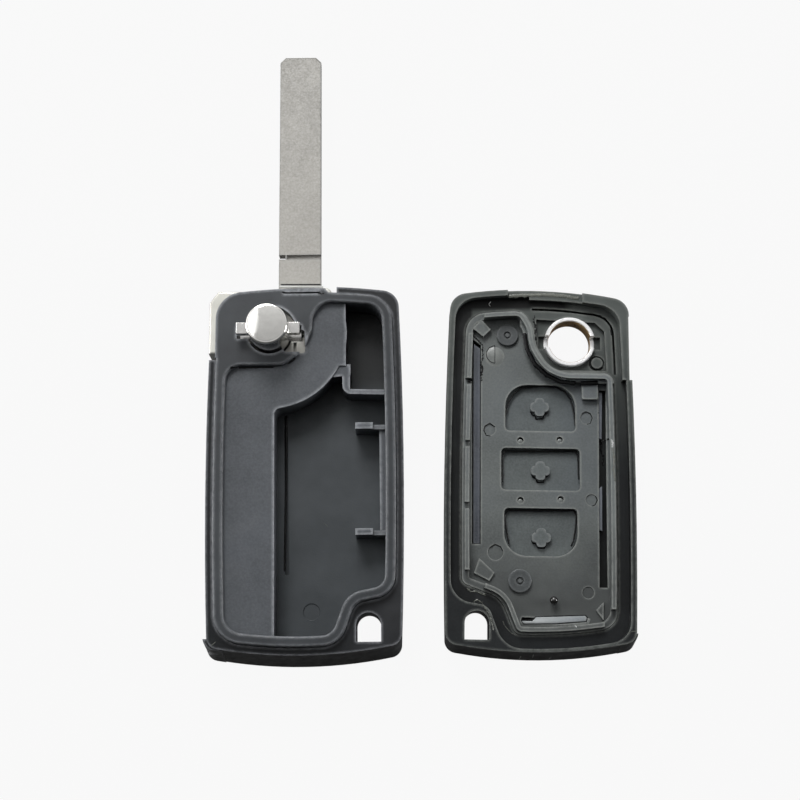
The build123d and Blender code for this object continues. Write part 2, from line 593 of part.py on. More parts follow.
# Windows of the frame, one shape for each key
with BuildSketch() as window_top:
    with Locations((WINDOW_X, 12.1)):
        Rectangle(14.0, 9.4)
    fillet(window_top.vertices().group_by(Axis.Y)[-1], 4.4)
    fillet(window_top.vertices().group_by(Axis.Y)[0], 0.9)
with BuildSketch() as window_middle:
    with Locations((WINDOW_X, -0.3)):
        RectangleRounded(15.6, 8.4, 0.9)
with BuildSketch() as window_bottom:
    with Locations((WINDOW_X, -12.8)):
        Rectangle(14.4, 9.4)
    fillet(window_bottom.vertices().group_by(Axis.Y)[-1], 0.9)
    fillet(window_bottom.vertices().group_by(Axis.Y)[0], 4.4)

# Stepped corner of the front shell, the other half of the one on the rear shell
with BuildPart() as front_step:
    with BuildSketch(FRONT.offset(FRONT_FLOOR)):
        add(front_foot.moved(Location((FRONT_STEP_OUT, 0, 0))))
    with BuildSketch(FRONT.offset(FRONT_RIM_Z)):
        add(front_rim.moved(Location((FRONT_STEP_OUT, 0, 0))))
    loft()
    with BuildSketch(FRONT.offset(FRONT_FLOOR)):
        with Locations((FRONT_WIDTHS[2] - STEP_IN, STEP_Y + 1)):
            Rectangle(10, 10, align=(Align.MIN, Align.MAX))
    extrude(amount=FRONT_RIM_Z - STEP_DROP - FRONT_FLOOR, mode=Mode.INTERSECT)

# Front shell
with BuildPart() as front_shell:
    with BuildSketch(FRONT):
        add(front_foot)
    extrude(amount=FRONT_FLOOR)
    fillet(front_shell.faces().sort_by(Axis.Z)[0].edges(), FACE_EDGE_R - 0.1)
    with BuildSketch(FRONT.offset(FRONT_FLOOR)):
        add(front_foot)
    with BuildSketch(FRONT.offset(FRONT_RIM_Z)):
        add(front_rim)
    loft()
    add(front_step.part)
    # Groove floor
    with BuildSketch(FRONT.offset(GROOVE_Z)):
        add(front_inner.sketch)
        add(hub_inner.sketch)
    extrude(amount=5, mode=Mode.SUBTRACT)
    # Well for the frame
    with BuildSketch(FRONT.offset(FRONT_FLOOR)):
        add(well_area.sketch)
    extrude(amount=8, mode=Mode.SUBTRACT)
    # Lowered top rim over the head, and the side recess beside it
    with BuildSketch(FRONT.offset(FRONT_RIM_Z - 0.9)):
        with Locations((-6.2, TOP_Y + 1)):
            Rectangle(15.0, 4.0, align=(Align.MIN, Align.MAX))
    extrude(amount=2, mode=Mode.SUBTRACT)
    with BuildSketch(FRONT.offset(FRONT_FLOOR + 1.6)):
        with Locations((HUB_SIDE_X, HUB_SIDE_Y)):
            Rectangle(3, 13.2, align=(Align.MIN, Align.MIN))
    extrude(amount=6, mode=Mode.SUBTRACT)
    # Hub recess: a lower platform round the ring, a band round it, and a thin slot outside the band
    with BuildSketch(FRONT.offset(GROOVE_Z - HUB_DROP)) as hub_platform:
        Polygon((-0.3, 19.7), (13.7, 19.7), (13.4, 27.9), (11.5, 29.7), (-0.3, 30.2), align=None)
        add(hub_recess.sketch, mode=Mode.INTERSECT)
    extrude(amount=3, mode=Mode.SUBTRACT)
    with BuildSketch(FRONT.offset(GROOVE_Z)):
        add(hub_slot.sketch)
    extrude(amount=-HUB_SLOT_DEEP, mode=Mode.SUBTRACT)
    # Stepped hole of the button ring
    with BuildSketch(FRONT):
        with Locations((RING_X, RING_Y)):
            Circle(RING_R - RING_LIP)
    extrude(amount=10, mode=Mode.SUBTRACT)
    with BuildSketch(FRONT.offset(RING_BOTTOM_Z - 0.02)):
        with Locations((RING_X, RING_Y)):
            Circle(RING_R + RING_FIT)
    extrude(amount=10, mode=Mode.SUBTRACT)
    # Pockets for the lugs of the barrel
    with BuildSketch(FRONT.offset(2.4)):
        with Locations((RING_X, RING_Y)):
            Rectangle(2 * LUG_REACH + 0.2, LUG_WIDTH + 0.35)
    extrude(amount=6, mode=Mode.SUBTRACT)
    # Raised boss in the corner of the recess, in a ring-shaped groove
    with BuildSketch(FRONT.offset(GROOVE_Z - HUB_DROP)):
        with Locations((11.85, 21.4)):
            Circle(1.55)
            Circle(1.15, mode=Mode.SUBTRACT)
    extrude(amount=-0.5, mode=Mode.SUBTRACT)
    with BuildSketch(FRONT.offset(GROOVE_Z - HUB_DROP - 0.1)):
        with Locations((11.85, 21.4)):
            Circle(1.15)
    extrude(amount=0.65)
    # Openings of the keys
    with BuildSketch(FRONT):
        add(inset(window_top.sketch, OPENING_INSET))
        add(inset(window_middle.sketch, OPENING_INSET))
        add(inset(window_bottom.sketch, OPENING_INSET))
    extrude(amount=FRONT_FLOOR, mode=Mode.SUBTRACT)
    # Keyring hole
    with BuildSketch(FRONT):
        with Locations((-12.1, -30.8)):
            Circle(KEYRING_R)
            Rectangle(2 * KEYRING_R, 3.1, align=(Align.CENTER, Align.MAX))
    extrude(amount=20, mode=Mode.SUBTRACT)
front_shell.part.label = "front_shell"

# Inner frame of the front half: plate, skirt, ridge and small blocks
with BuildPart() as front_frame:
    with BuildSketch(FRONT.offset(FRONT_FLOOR + 0.04)):
        add(frame_outline)
        add(ridge_inner, mode=Mode.SUBTRACT)
    extrude(amount=GROOVE_Z + 0.1 - FRONT_FLOOR - 0.04)
    with BuildSketch(FRONT.offset(PLATE_BOTTOM_Z)):
        add(frame_outline)
    extrude(amount=PLATE_Z - PLATE_BOTTOM_Z)
    with BuildSketch(FRONT.offset(PLATE_Z)):
        add(ridge_outline)
        add(ridge_inner, mode=Mode.SUBTRACT)
        # Gaps in the ridge, read off the photo
        with Locations((-14.5, 16.8), (-14.4, 4.2), (-14.4, -8.1)):
            Rectangle(3, 1.3, mode=Mode.SUBTRACT)
        with Locations((-13.2, 28.8)):
            Rectangle(4.6, 4.2, mode=Mode.SUBTRACT)
        with Locations((-13.2, -22.3)):
            Rectangle(5.4, 3.4, mode=Mode.SUBTRACT)
        with Locations((14.0, -30.0)):
            Rectangle(3.4, 4.6, mode=Mode.SUBTRACT)
    extrude(amount=RIDGE_Z - PLATE_Z)
    # Wider band along the hub recess
    with BuildSketch(FRONT.offset(PLATE_Z)) as hub_band:
        add(frame_outline)
        add(hub_band_area, mode=Mode.INTERSECT)
        with Locations((-3.6, 17.0)):
            Rectangle(40, 40, align=(Align.MIN, Align.MIN), mode=Mode.INTERSECT)
    extrude(amount=RIDGE_Z - 1.1 - PLATE_Z)
    # Side slots and the bottom slot
    with BuildSketch(FRONT.offset(PLATE_BOTTOM_Z - 1)):
        Polygon((-13.0, -15.3), (-11.3, -15.3), (-11.4, 24.9), (-13.2, 26.2), align=None)
        Polygon((11.8, -23.4), (13.4, -23.4), (13.6, 15.9), (12.2, 15.9), align=None)
    extrude(amount=3, mode=Mode.SUBTRACT)
    with BuildSketch(FRONT.offset(PLATE_BOTTOM_Z - 1)):
        with Locations(Location((2.9, -30.0, 0), (0, 0, -1.6))):
            RectangleRounded(12.6, 1.0, 0.3)
    extrude(amount=3, mode=Mode.SUBTRACT)
    # Windows and pin holes
    with BuildSketch(FRONT.offset(PLATE_BOTTOM_Z - 0.5)):
        add(window_top.sketch)
        add(window_middle.sketch)
        add(window_bottom.sketch)
        with Locations((-3.5, 5.5), (4.3, 5.7), (-3.5, -6.5), (4.4, -6.2)):
            Circle(0.6)
    extrude(amount=2, mode=Mode.SUBTRACT)
    # Rivet holes
    with BuildSketch(FRONT.offset(PLATE_BOTTOM_Z - 0.5)):
        with Locations((-6.1, 26.9), (-3.7, -22.4)):
            Circle(1.25)
    extrude(amount=2, mode=Mode.SUBTRACT)
    # Ejector marks on the plate, the upper one only half sunk
    with BuildSketch(FRONT.offset(PLATE_Z)):
        with Locations((-9.65, 7.5), (9.65, 10.2), (10.5, -6.3), (9.6, -24.4)):
            Circle(1.15)
        with Locations((-8.4, -16.9)):
            Circle(1.5)
        with Locations(Location((-8.6, 22.6, 0), (0, 0, -40))):
            Circle(1.9)
            Rectangle(5, 3, align=(Align.CENTER, Align.MIN), mode=Mode.SUBTRACT)
    extrude(amount=-MARK_DEPTH, mode=Mode.SUBTRACT)
    # Blocks on the plate
    with BuildSketch(FRONT.offset(PLATE_Z)):
        Polygon((-11.4, 30.0), (-9.5, 27.9), (-11.0, 26.4), (-13.1, 28.1), align=None)
        with Locations((10.3, 15.5)):
            RectangleRounded(3.2, 3.4, 0.4)
    extrude(amount=1.1)
    with BuildSketch(FRONT.offset(PLATE_Z)):
        Polygon((-11.6, -18.1), (-8.6, -20.9), (-9.6, -22.5), (-12.6, -21.0), align=None)
        Polygon((12.5, -26.2), (11.0, -27.8), (12.4, -29.7), align=None)
    extrude(amount=0.5)
    # Ball-ended pin
    with BuildSketch(FRONT.offset(PLATE_Z)):
        with Locations((2.8, -26.1)):
            Circle(0.55)
    extrude(amount=0.9)
    with Locations(FRONT.offset(PLATE_Z + 1.2).location):
        with Locations((2.8, -26.1, 0)):
            Sphere(0.75)
front_frame.part.label = "front_frame"

# Keys: cap in the shell's opening, flange above the floor, plunger towards the board
key_flange_z = FRONT_FLOOR + 0.04
with BuildPart() as key_top:
    with BuildSketch(FRONT.offset(KEY_FACE_Z)):
        add(inset(window_top.sketch, OPENING_INSET + KEY_GAP))
    extrude(amount=key_flange_z - KEY_FACE_Z)
    with BuildSketch(FRONT.offset(key_flange_z)):
        add(inset(window_top.sketch, -FLANGE_OVERLAP))
    extrude(amount=KEY_FLANGE_THICK)
    with BuildSketch(FRONT.offset(key_flange_z + KEY_FLANGE_THICK)):
        with Locations((0.4, 12.4)):
            RectangleRounded(PLUNGER_LONG, PLUNGER_SHORT, PLUNGER_R)
            RectangleRounded(PLUNGER_SHORT, PLUNGER_LONG, PLUNGER_R)
    extrude(amount=PLUNGER_TALL)
key_top.part.label = "key_top"

with BuildPart() as key_middle:
    with BuildSketch(FRONT.offset(KEY_FACE_Z)):
        add(inset(window_middle.sketch, OPENING_INSET + KEY_GAP))
    extrude(amount=key_flange_z - KEY_FACE_Z)
    with BuildSketch(FRONT.offset(key_flange_z)):
        add(inset(window_middle.sketch, -FLANGE_OVERLAP))
    extrude(amount=KEY_FLANGE_THICK)
    with BuildSketch(FRONT.offset(key_flange_z + KEY_FLANGE_THICK)):
        with Locations((0.5, -0.5)):
            RectangleRounded(PLUNGER_LONG, PLUNGER_SHORT, PLUNGER_R)
            RectangleRounded(PLUNGER_SHORT, PLUNGER_LONG, PLUNGER_R)
    extrude(amount=PLUNGER_TALL)
key_middle.part.label = "key_middle"

with BuildPart() as key_bottom:
    with BuildSketch(FRONT.offset(KEY_FACE_Z)):
        add(inset(window_bottom.sketch, OPENING_INSET + KEY_GAP))
    extrude(amount=key_flange_z - KEY_FACE_Z)
    with BuildSketch(FRONT.offset(key_flange_z)):
        add(inset(window_bottom.sketch, -FLANGE_OVERLAP))
    extrude(amount=KEY_FLANGE_THICK)
    with BuildSketch(FRONT.offset(key_flange_z + KEY_FLANGE_THICK)):
        with Locations((0.6, -13.8)):
            RectangleRounded(PLUNGER_LONG, PLUNGER_SHORT, PLUNGER_R)
            RectangleRounded(PLUNGER_SHORT, PLUNGER_LONG, PLUNGER_R)
    extrude(amount=PLUNGER_TALL)
key_bottom.part.label = "key_bottom"

# Ring round the button hole, with two slots for the lugs
with BuildPart() as button_ring:
    with BuildSketch(FRONT.offset(RING_BOTTOM_Z)):
        with Locations((RING_X, RING_Y)):
            Circle(RING_R)
            Circle(BARREL_R + BORE_GAP, mode=Mode.SUBTRACT)
    extrude(amount=RING_TOP_Z - RING_BOTTOM_Z)
    chamfer(button_ring.faces().sort_by(Axis.Z)[-1].edges(), 0.2)
    with BuildSketch(FRONT.offset(2.6)):
        with Locations((RING_X, RING_Y)):
            Rectangle(14, LUG_WIDTH + 0.25)
    extrude(amount=4, mode=Mode.SUBTRACT)
button_ring.part.label = "button_ring"

# Rivets of the frame
with BuildPart() as frame_rivet_upper:
    with BuildSketch(FRONT.offset(FRONT_FLOOR + 0.03)):
        with Locations((-6.1, 26.9)):
            Circle(1.2)
    extrude(amount=PLATE_Z - FRONT_FLOOR - 0.02)
    with BuildSketch(FRONT.offset(PLATE_Z + 0.01)):
        with Locations((-6.1, 26.9)):
            Circle(2.2)
    extrude(amount=0.6)
    fillet(frame_rivet_upper.faces().sort_by(Axis.Z)[-1].edges(), 0.2)
    with BuildSketch(FRONT.offset(PLATE_Z + 0.61)):
        with Locations((-6.1, 26.9)):
            Circle(0.75)
            Circle(0.4, mode=Mode.SUBTRACT)
    extrude(amount=-0.3, mode=Mode.SUBTRACT)
frame_rivet_upper.part.label = "frame_rivet_upper"

with BuildPart() as frame_rivet_lower:
    with BuildSketch(FRONT.offset(FRONT_FLOOR + 0.03)):
        with Locations((-3.7, -22.4)):
            Circle(1.2)
    extrude(amount=PLATE_Z - FRONT_FLOOR - 0.02)
    with BuildSketch(FRONT.offset(PLATE_Z + 0.01)):
        with Locations((-3.7, -22.4)):
            Circle(2.3)
    extrude(amount=0.6)
    fillet(frame_rivet_lower.faces().sort_by(Axis.Z)[-1].edges(), 0.2)
    with BuildSketch(FRONT.offset(PLATE_Z + 0.61)):
        with Locations((-3.7, -22.4)):
            Circle(0.75)
            Circle(0.4, mode=Mode.SUBTRACT)
    extrude(amount=-0.3, mode=Mode.SUBTRACT)
frame_rivet_lower.part.label = "frame_rivet_lower"

export_step(rear_shell.part, "parts/rear_shell.step")
export_step(inner_tray.part, "parts/inner_tray.step")
export_step(flip_head.part, "parts/flip_head.step")
export_step(key_blade.part, "parts/key_blade.step")
export_step(blade_pin.part, "parts/blade_pin.step")
export_step(release_button.part, "parts/release_button.step")
export_step(flip_spring.part, "parts/flip_spring.step")
export_step(front_shell.part, "parts/front_shell.step")
export_step(front_frame.part, "parts/front_frame.step")
export_step(key_top.part, "parts/key_top.step")
export_step(key_middle.part, "parts/key_middle.step")
export_step(key_bottom.part, "parts/key_bottom.step")
export_step(button_ring.part, "parts/button_ring.step")
export_step(frame_rivet_upper.part, "parts/frame_rivet_upper.step")
export_step(frame_rivet_lower.part, "parts/frame_rivet_lower.step")
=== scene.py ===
"""Flip key remote shell, opened into its two halves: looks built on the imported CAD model."""
import math
import random

import bmesh
import bpy
from mathutils import Matrix, Vector
from mathutils.bvhtree import BVHTree

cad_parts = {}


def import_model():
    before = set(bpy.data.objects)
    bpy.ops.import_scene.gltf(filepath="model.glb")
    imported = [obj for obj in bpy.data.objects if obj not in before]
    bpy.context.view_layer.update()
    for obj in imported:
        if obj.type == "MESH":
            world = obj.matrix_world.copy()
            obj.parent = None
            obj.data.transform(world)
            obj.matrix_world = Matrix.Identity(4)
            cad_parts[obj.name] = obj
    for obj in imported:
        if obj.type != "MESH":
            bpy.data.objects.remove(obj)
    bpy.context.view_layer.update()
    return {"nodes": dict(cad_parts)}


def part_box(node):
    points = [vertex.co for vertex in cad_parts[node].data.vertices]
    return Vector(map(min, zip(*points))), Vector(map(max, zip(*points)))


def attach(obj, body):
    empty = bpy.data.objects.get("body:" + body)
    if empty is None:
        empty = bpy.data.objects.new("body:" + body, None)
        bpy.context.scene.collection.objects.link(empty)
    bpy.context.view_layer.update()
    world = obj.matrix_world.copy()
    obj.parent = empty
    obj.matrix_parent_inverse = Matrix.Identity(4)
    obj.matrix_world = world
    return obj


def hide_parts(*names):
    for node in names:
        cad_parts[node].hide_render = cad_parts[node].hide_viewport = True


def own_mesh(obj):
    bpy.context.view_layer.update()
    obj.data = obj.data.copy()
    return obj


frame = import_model()
NODES = frame["nodes"]
MM = 0.001

# Where the halves lie, as in the CAD
REAR = Matrix.Translation((-0.02255, -0.02448, 0)) @ Matrix.Rotation(math.radians(0.7), 4, "Z")
FRONT = Matrix.Translation((0.02325, -0.02418, 0)) @ Matrix.Rotation(math.radians(-1.0), 4, "Z")

# The pivot along the rear half, and the button ring's centre along the front half with its bore, in mm
PIVOT = (-6.9, 26.1)
RING_CENTRE = (6.4, 25.6)
RING_BORE_R = 4.3

# Heights over the floor in mm, as in the CAD: the frame's plate, the keys' flanges and the tray's floor
PLATE_TOP = 3.4
PLATE_BOTTOM = 2.65
FLANGE_TOP = 2.04
CAVITY_FLOOR = 3.5

# The photograph's point of view: place in metres, lens and film in mm, picture in pixels. It is also used to
# set small pieces where the picture shows them
EYE = Vector((-0.00405, -0.07202, 0.27008))
TILT = math.radians(13)
LENS = 61.6
FILM = 36.0
PICTURE = 800


def at(half, x, y, z=0.0):
    """The point in metres that lies at x, y, z mm along a half."""
    return half @ Vector((x * MM, y * MM, z * MM))


# Materials
class Graph:
    """The node tree of a material or the world, with short calls to add and join nodes."""

    OCCLUSION_SAMPLES = 5
    BEVEL_SAMPLES = 4

    def __init__(self, owner, output="ShaderNodeOutputMaterial", coords="Object"):
        owner.use_nodes = True
        self.owner = owner
        self.tree = owner.node_tree
        self.tree.nodes.clear()
        self.out = self.tree.nodes.new(output)
        self.coords = self.add("ShaderNodeTexCoord").outputs[coords]

    def add(self, kind, settings=None, **inputs):
        """Adds a node; an input is named by its socket, or by i and its number."""
        node = self.tree.nodes.new(kind)
        for key, value in (settings or {}).items():
            setattr(node, key, value)
        for key, value in inputs.items():
            name = key.replace("_", " ")
            socket = node.inputs[name] if name in node.inputs else node.inputs[int(key[1:])]
            self.feed(socket, value)
        return node

    def feed(self, socket, value):
        """Joins a socket to the socket it gets, or sets its plain value."""
        if isinstance(value, bpy.types.NodeSocket):
            self.tree.links.new(value, socket)
        elif isinstance(value, tuple) and len(value) == 3 and socket.type == "RGBA":
            socket.default_value = (*value, 1)
        else:
            socket.default_value = value

    def noise(self, scale, detail=2.0, rough=0.5):
        """Cloudy noise round 0.5; scale is in patches to the metre."""
        return self.add("ShaderNodeTexNoise", Vector=self.coords, Scale=scale, Detail=detail,
                        Roughness=rough).outputs["Fac"]

    def ramp(self, value, low, high, start=0.0, end=1.0):
        """Start where value is low, end where it is high, and a straight line between."""
        node = self.add("ShaderNodeMapRange", {"clamp": True}, Value=value)
        node.inputs["From Min"].default_value = low
        node.inputs["From Max"].default_value = high
        node.inputs["To Min"].default_value = start
        node.inputs["To Max"].default_value = end
        return node.outputs["Result"]

    def mix(self, share, a, b):
        """Colour a where share is 0, and b where it is 1."""
        node = self.add("ShaderNodeMix", {"data_type": "RGBA"})
        for socket, value in ((node.inputs[0], share), (node.inputs[6], a), (node.inputs[7], b)):
            self.feed(socket, value)
        return node.outputs[2]

    def blend(self, share, a, b):
        """Shader a where share is 0, and b where it is 1."""
        return self.add("ShaderNodeMixShader", Fac=share, i1=a, i2=b).outputs[0]

    def math(self, operation, a, b):
        return self.add("ShaderNodeMath", {"operation": operation}, i0=a, i1=b).outputs[0]

    def edge(self, distance):
        """0 on flats, towards 1 on outer edges, within a distance in mm."""
        settings = {"inside": True, "only_local": True, "samples": self.OCCLUSION_SAMPLES}
        node = self.add("ShaderNodeAmbientOcclusion", settings, Distance=distance * MM)
        return self.math("SUBTRACT", 1.0, node.outputs["AO"])

    def corner(self, distance):
        """0 in the open, towards 0.75 in inner corners and slots, within a distance in mm."""
        settings = {"samples": self.OCCLUSION_SAMPLES}
        node = self.add("ShaderNodeAmbientOcclusion", settings, Distance=distance * MM)
        return self.ramp(node.outputs["AO"], 0.55, 0.12, 0, 0.75)

    def normal(self, height, depth, radius):
        """Bump of that depth on edges rounded by that radius, both in mm."""
        bevel = self.add("ShaderNodeBevel", {"samples": self.BEVEL_SAMPLES}, Radius=radius * MM)
        return self.add("ShaderNodeBump", Height=height, Distance=depth * MM, Strength=1.0,
                        Normal=bevel.outputs["Normal"]).outputs["Normal"]

    def end(self, shader):
        """Joins a shader to the output and gives the tree's owner."""
        self.tree.links.new(shader, self.out.inputs["Surface"])
        return self.owner

    def shade(self, **inputs):
        """Ends the tree with a Principled shader and gives the material."""
        return self.end(self.add("ShaderNodeBsdfPrincipled", **inputs).outputs["BSDF"])


def linear(channel):
    """One colour channel from 0 to 255, as light."""
    share = channel / 255
    return share / 12.92 if share <= 0.04045 else ((share + 0.055) / 1.055) ** 2.4


def srgb(r, g, b):
    """A colour given in levels from 0 to 255, as light."""
    return linear(r), linear(g), linear(b)


# Depth of the plastic's grain and rounding of its edges, in mm
GRAIN_DEPTH = 0.018
EDGE_ROUNDING = 0.14


def moulded(name, dark, light, edge, rough=0.5, grain=2600, gloss=0.3, corner_shade=1.1, reach=0.6, plain_below=None,
            zones=()):
    """Textured plastic: clouded colour, fine spark-eroded grain, burnished paler edges that are partly wear
    and partly painted highlight, and corners darkened as painted shade.

    In mm: how far the painted shade spreads from corners and the paler edges reach, and the height below
    which edges aren't made paler."""
    g = Graph(bpy.data.materials.new(name))
    cloud = g.ramp(g.noise(95, 3, 0.55), 0.32, 0.68)
    speck = g.ramp(g.noise(grain, 2, 0.6), 0.35, 0.68)
    colour = g.mix(cloud, dark, light)
    colour = g.mix(g.math("MULTIPLY", speck, 0.22), colour, tuple(min(1, c * 1.9) for c in light))
    blue = g.ramp(g.noise(42, 2, 0.5), 0.52, 0.75, 0, 0.35)
    colour = g.mix(blue, colour, tuple(c * k for c, k in zip(light, (0.92, 0.98, 1.18))))
    place = g.add("ShaderNodeSeparateXYZ", i0=g.coords).outputs
    for bounds, low, high in zones:
        share = 1.0
        for axis, start, end in bounds:
            share = g.math("MULTIPLY", share, g.ramp(place[axis], start * MM, end * MM))
        colour = g.mix(share, colour, g.mix(cloud, low, high))
    # Paler edges: partly wear, partly a painted highlight standing in for light the lamps don't give them
    wear_and_highlight = g.ramp(g.edge(reach), 0.14, 0.32, 0, 0.95)
    if plain_below is not None:
        wear_and_highlight = g.math("MULTIPLY", wear_and_highlight, g.ramp(place["Z"], plain_below * MM, (plain_below + 1) * MM))
    broken = g.ramp(g.noise(900, 2, 0.6), 0.25, 0.6, 0.4, 1.0)
    colour = g.mix(g.math("MULTIPLY", wear_and_highlight, broken), colour, edge)
    # Painted shade: inner corners, slots and recesses darkened
    colour = g.mix(g.corner(corner_shade), colour, tuple(c * 0.3 for c in dark))
    matt = g.ramp(g.noise(600, 3, 0.6), 0.3, 0.7, rough - 0.06, rough + 0.1)
    burnish = g.ramp(g.edge(0.5), 0.12, 0.4, 1, 0.45)
    roughness = g.math("MULTIPLY", matt, burnish)
    height = g.math("ADD", g.noise(grain, 3, 0.65), g.math("MULTIPLY", g.noise(grain / 6, 2, 0.5), 0.8))
    return g.shade(Base_Color=colour, Roughness=roughness, Specular_IOR_Level=gloss,
                   Normal=g.normal(height, GRAIN_DEPTH, EDGE_ROUNDING))


# A zone is (bounds, darker colour, lighter colour), and a bound is (axis, start, full) in the frame's mm
# Painted shade: the south-facing foot of each half darkened
FOOT_SHADE = ((("Y", -59.5, -61.5),), srgb(7, 8, 9), srgb(11, 12, 13))
GROOVE = ("Z", 5.2, 4.6)
GROOVE_LEFT = ("X", 6.5, 7.2)
CAVITY = ("Z", 5.0, 4.0)
# Rear shell: lighter towards its right side as painted light, darker at the foot as painted shade; the fourth
# colour of each plastic is its paler edges, partly wear and partly painted highlight
BLACK_SHELL = moulded("black_shell_plastic", srgb(21, 22, 24), srgb(30, 32, 34), srgb(128, 130, 134),
                      rough=0.34, gloss=0.2, corner_shade=4,
                      zones=(((("X", -17, -7),), srgb(36, 37, 39), srgb(50, 51, 53)), FOOT_SHADE))
# Front shell: its northern part lighter as painted light from the north; the groove inside the rim darker at
# the left and near black along the top, as painted shade; darker at the foot as painted shade
FRONT_BLACK = moulded("black_front_shell_plastic", srgb(24, 25, 26), srgb(34, 36, 37), srgb(112, 115, 112),
                      rough=0.36, gloss=0.2, corner_shade=5,
                      zones=(((("Y", -26, 2),), srgb(68, 72, 70), srgb(84, 88, 86)),
                             ((GROOVE, GROOVE_LEFT, ("X", 10.8, 10.2)), srgb(17, 18, 19), srgb(28, 30, 31)),
                             ((GROOVE, GROOVE_LEFT, ("X", 31, 29), ("Y", 7.6, 8.6), ("Y", 12.2, 11.8)),
                              srgb(7, 8, 8), srgb(13, 14, 14)), FOOT_SHADE))
# Tray: above 10.6 mm darker; the cavity floor darker, dark in its upper part and near black in the pocket at
# the top, as painted shade
BLACK_TRAY = moulded("black_tray_plastic", srgb(64, 67, 71), srgb(78, 81, 85), srgb(146, 149, 153),
                     rough=0.46, corner_shade=3, reach=0.7, plain_below=4.2,
                     zones=(((("Z", 10.2, 10.6),), srgb(43, 45, 48), srgb(57, 60, 63)),
                            ((CAVITY,), srgb(58, 62, 65), srgb(72, 76, 79)),
                            ((CAVITY, ("Y", -12, -6)), srgb(20, 22, 23), srgb(30, 33, 34)),
                            ((CAVITY, ("Y", 2, 8)), srgb(5, 5, 6), srgb(9, 9, 10))))
# Frame: darker towards the foot, as painted shade
BLACK_FRAME = moulded("black_frame_plastic", srgb(77, 81, 81), srgb(96, 100, 99), srgb(138, 141, 138),
                      rough=0.46, reach=0.5,
                      zones=(((("Y", -34, -52),), srgb(62, 64, 64), srgb(78, 81, 80)),))
KEY_RUBBER = moulded("key_rubber_grey", srgb(72, 77, 78), srgb(90, 95, 95), srgb(120, 124, 124), rough=0.6)
RIVET_BLACK = moulded("rivet_black", srgb(56, 59, 60), srgb(72, 75, 76), srgb(100, 103, 104), rough=0.4)
DEEP_BLACK = moulded("deep_black_plastic", srgb(9, 9, 10), srgb(15, 16, 17), srgb(16, 17, 18), gloss=0.2)
FLASH_AND_HIGHLIGHT_GREY = moulded("torn_flash_and_highlight_plastic", srgb(58, 60, 56), srgb(104, 107, 100), srgb(100, 102, 96),
                     rough=0.45, grain=1500)
SCUFF_PALE = moulded("pale_scuff_plastic", srgb(140, 142, 140), srgb(176, 178, 176), srgb(186, 187, 185),
                     rough=0.45)
STRIP_GREY = moulded("slot_strip_grey", srgb(104, 109, 111), srgb(138, 143, 145), srgb(150, 154, 155),
                     rough=0.4, zones=(((("X", 30, 20),), srgb(158, 163, 164), srgb(186, 190, 191)),))
SLOT_GREY = moulded("slot_floor_grey", srgb(70, 73, 79), srgb(94, 98, 105), srgb(120, 124, 130))
BALL_BLACK = moulded("glossy_ball_black", srgb(9, 9, 9), srgb(16, 16, 15), srgb(22, 22, 21),
                     rough=0.14, gloss=0.7, corner_shade=0.5)


def chrome(name, base, rough, bevel=0.12):
    """Plated metal with faint waviness and fine handling marks; bevel is in mm."""
    g = Graph(bpy.data.materials.new(name))
    smear = g.ramp(g.noise(260, 3, 0.6), 0.35, 0.75)
    tone = tuple(c * 0.86 for c in base)
    colour = g.mix(smear, tone, base)
    roughness = g.ramp(g.noise(700, 3, 0.6), 0.3, 0.75, rough * 0.75, rough * 1.5)
    return g.shade(Base_Color=colour, Metallic=1.0, Roughness=roughness,
                   Normal=g.normal(g.noise(420, 2, 0.5), 0.006, bevel))


CHROME = chrome("chrome_plate", (0.78, 0.77, 0.75), 0.14)
CAP_CHROME = chrome("button_cap_chrome", (0.84, 0.83, 0.8), 0.09, 0.05)


def satin(name):
    """Matt nickel plate on the head: pale warm grey with soft shine."""
    g = Graph(bpy.data.materials.new(name))
    cloud = g.ramp(g.noise(170, 3, 0.6), 0.3, 0.72)
    colour = g.mix(cloud, srgb(176, 175, 168), srgb(196, 195, 188))
    # Paler edges: partly wear, partly painted highlight
    colour = g.mix(g.ramp(g.edge(0.5), 0.15, 0.5, 0, 0.6), colour, srgb(226, 225, 219))
    # Painted shade: inner corners darkened
    colour = g.mix(g.corner(1.2), colour, srgb(60, 58, 54))
    return g.shade(Base_Color=colour, Metallic=0.45, Roughness=g.ramp(g.noise(700, 2), 0.3, 0.7, 0.34, 0.46),
                   Normal=g.normal(g.noise(1500, 2), 0.006, 0.3))


HEAD_SATIN = satin("satin_head_plate")


def blasted(name):
    """Bead-blasted blade steel: warm light grey with a fine matt mottle."""
    g = Graph(bpy.data.materials.new(name))
    cloud = g.ramp(g.noise(130, 3, 0.6), 0.3, 0.7)
    colour = g.mix(cloud, srgb(122, 120, 115), srgb(137, 135, 130))
    speck = g.ramp(g.noise(2200, 2, 0.6), 0.35, 0.7, 0, 0.5)
    colour = g.mix(speck, colour, srgb(164, 163, 160))
    dull = g.ramp(g.noise(2900, 2, 0.6), 0.55, 0.72, 0, 0.35)
    colour = g.mix(dull, colour, srgb(96, 94, 89))
    lower = g.ramp(g.add("ShaderNodeSeparateXYZ", i0=g.coords).outputs["Y"], 55 * MM, 14 * MM, 0, 0.4)
    colour = g.mix(lower, colour, srgb(164, 161, 155))
    colour = g.mix(g.ramp(g.edge(0.4), 0.15, 0.5, 0, 0.55), colour, srgb(98, 100, 103))
    height = g.noise(2600, 3, 0.7)
    return g.shade(Base_Color=colour, Metallic=0.3, Roughness=g.ramp(g.noise(900, 2), 0.3, 0.7, 0.5, 0.62),
                   Normal=g.normal(height, 0.02, 0.12))


BLADE_STEEL = blasted("blasted_blade_steel")


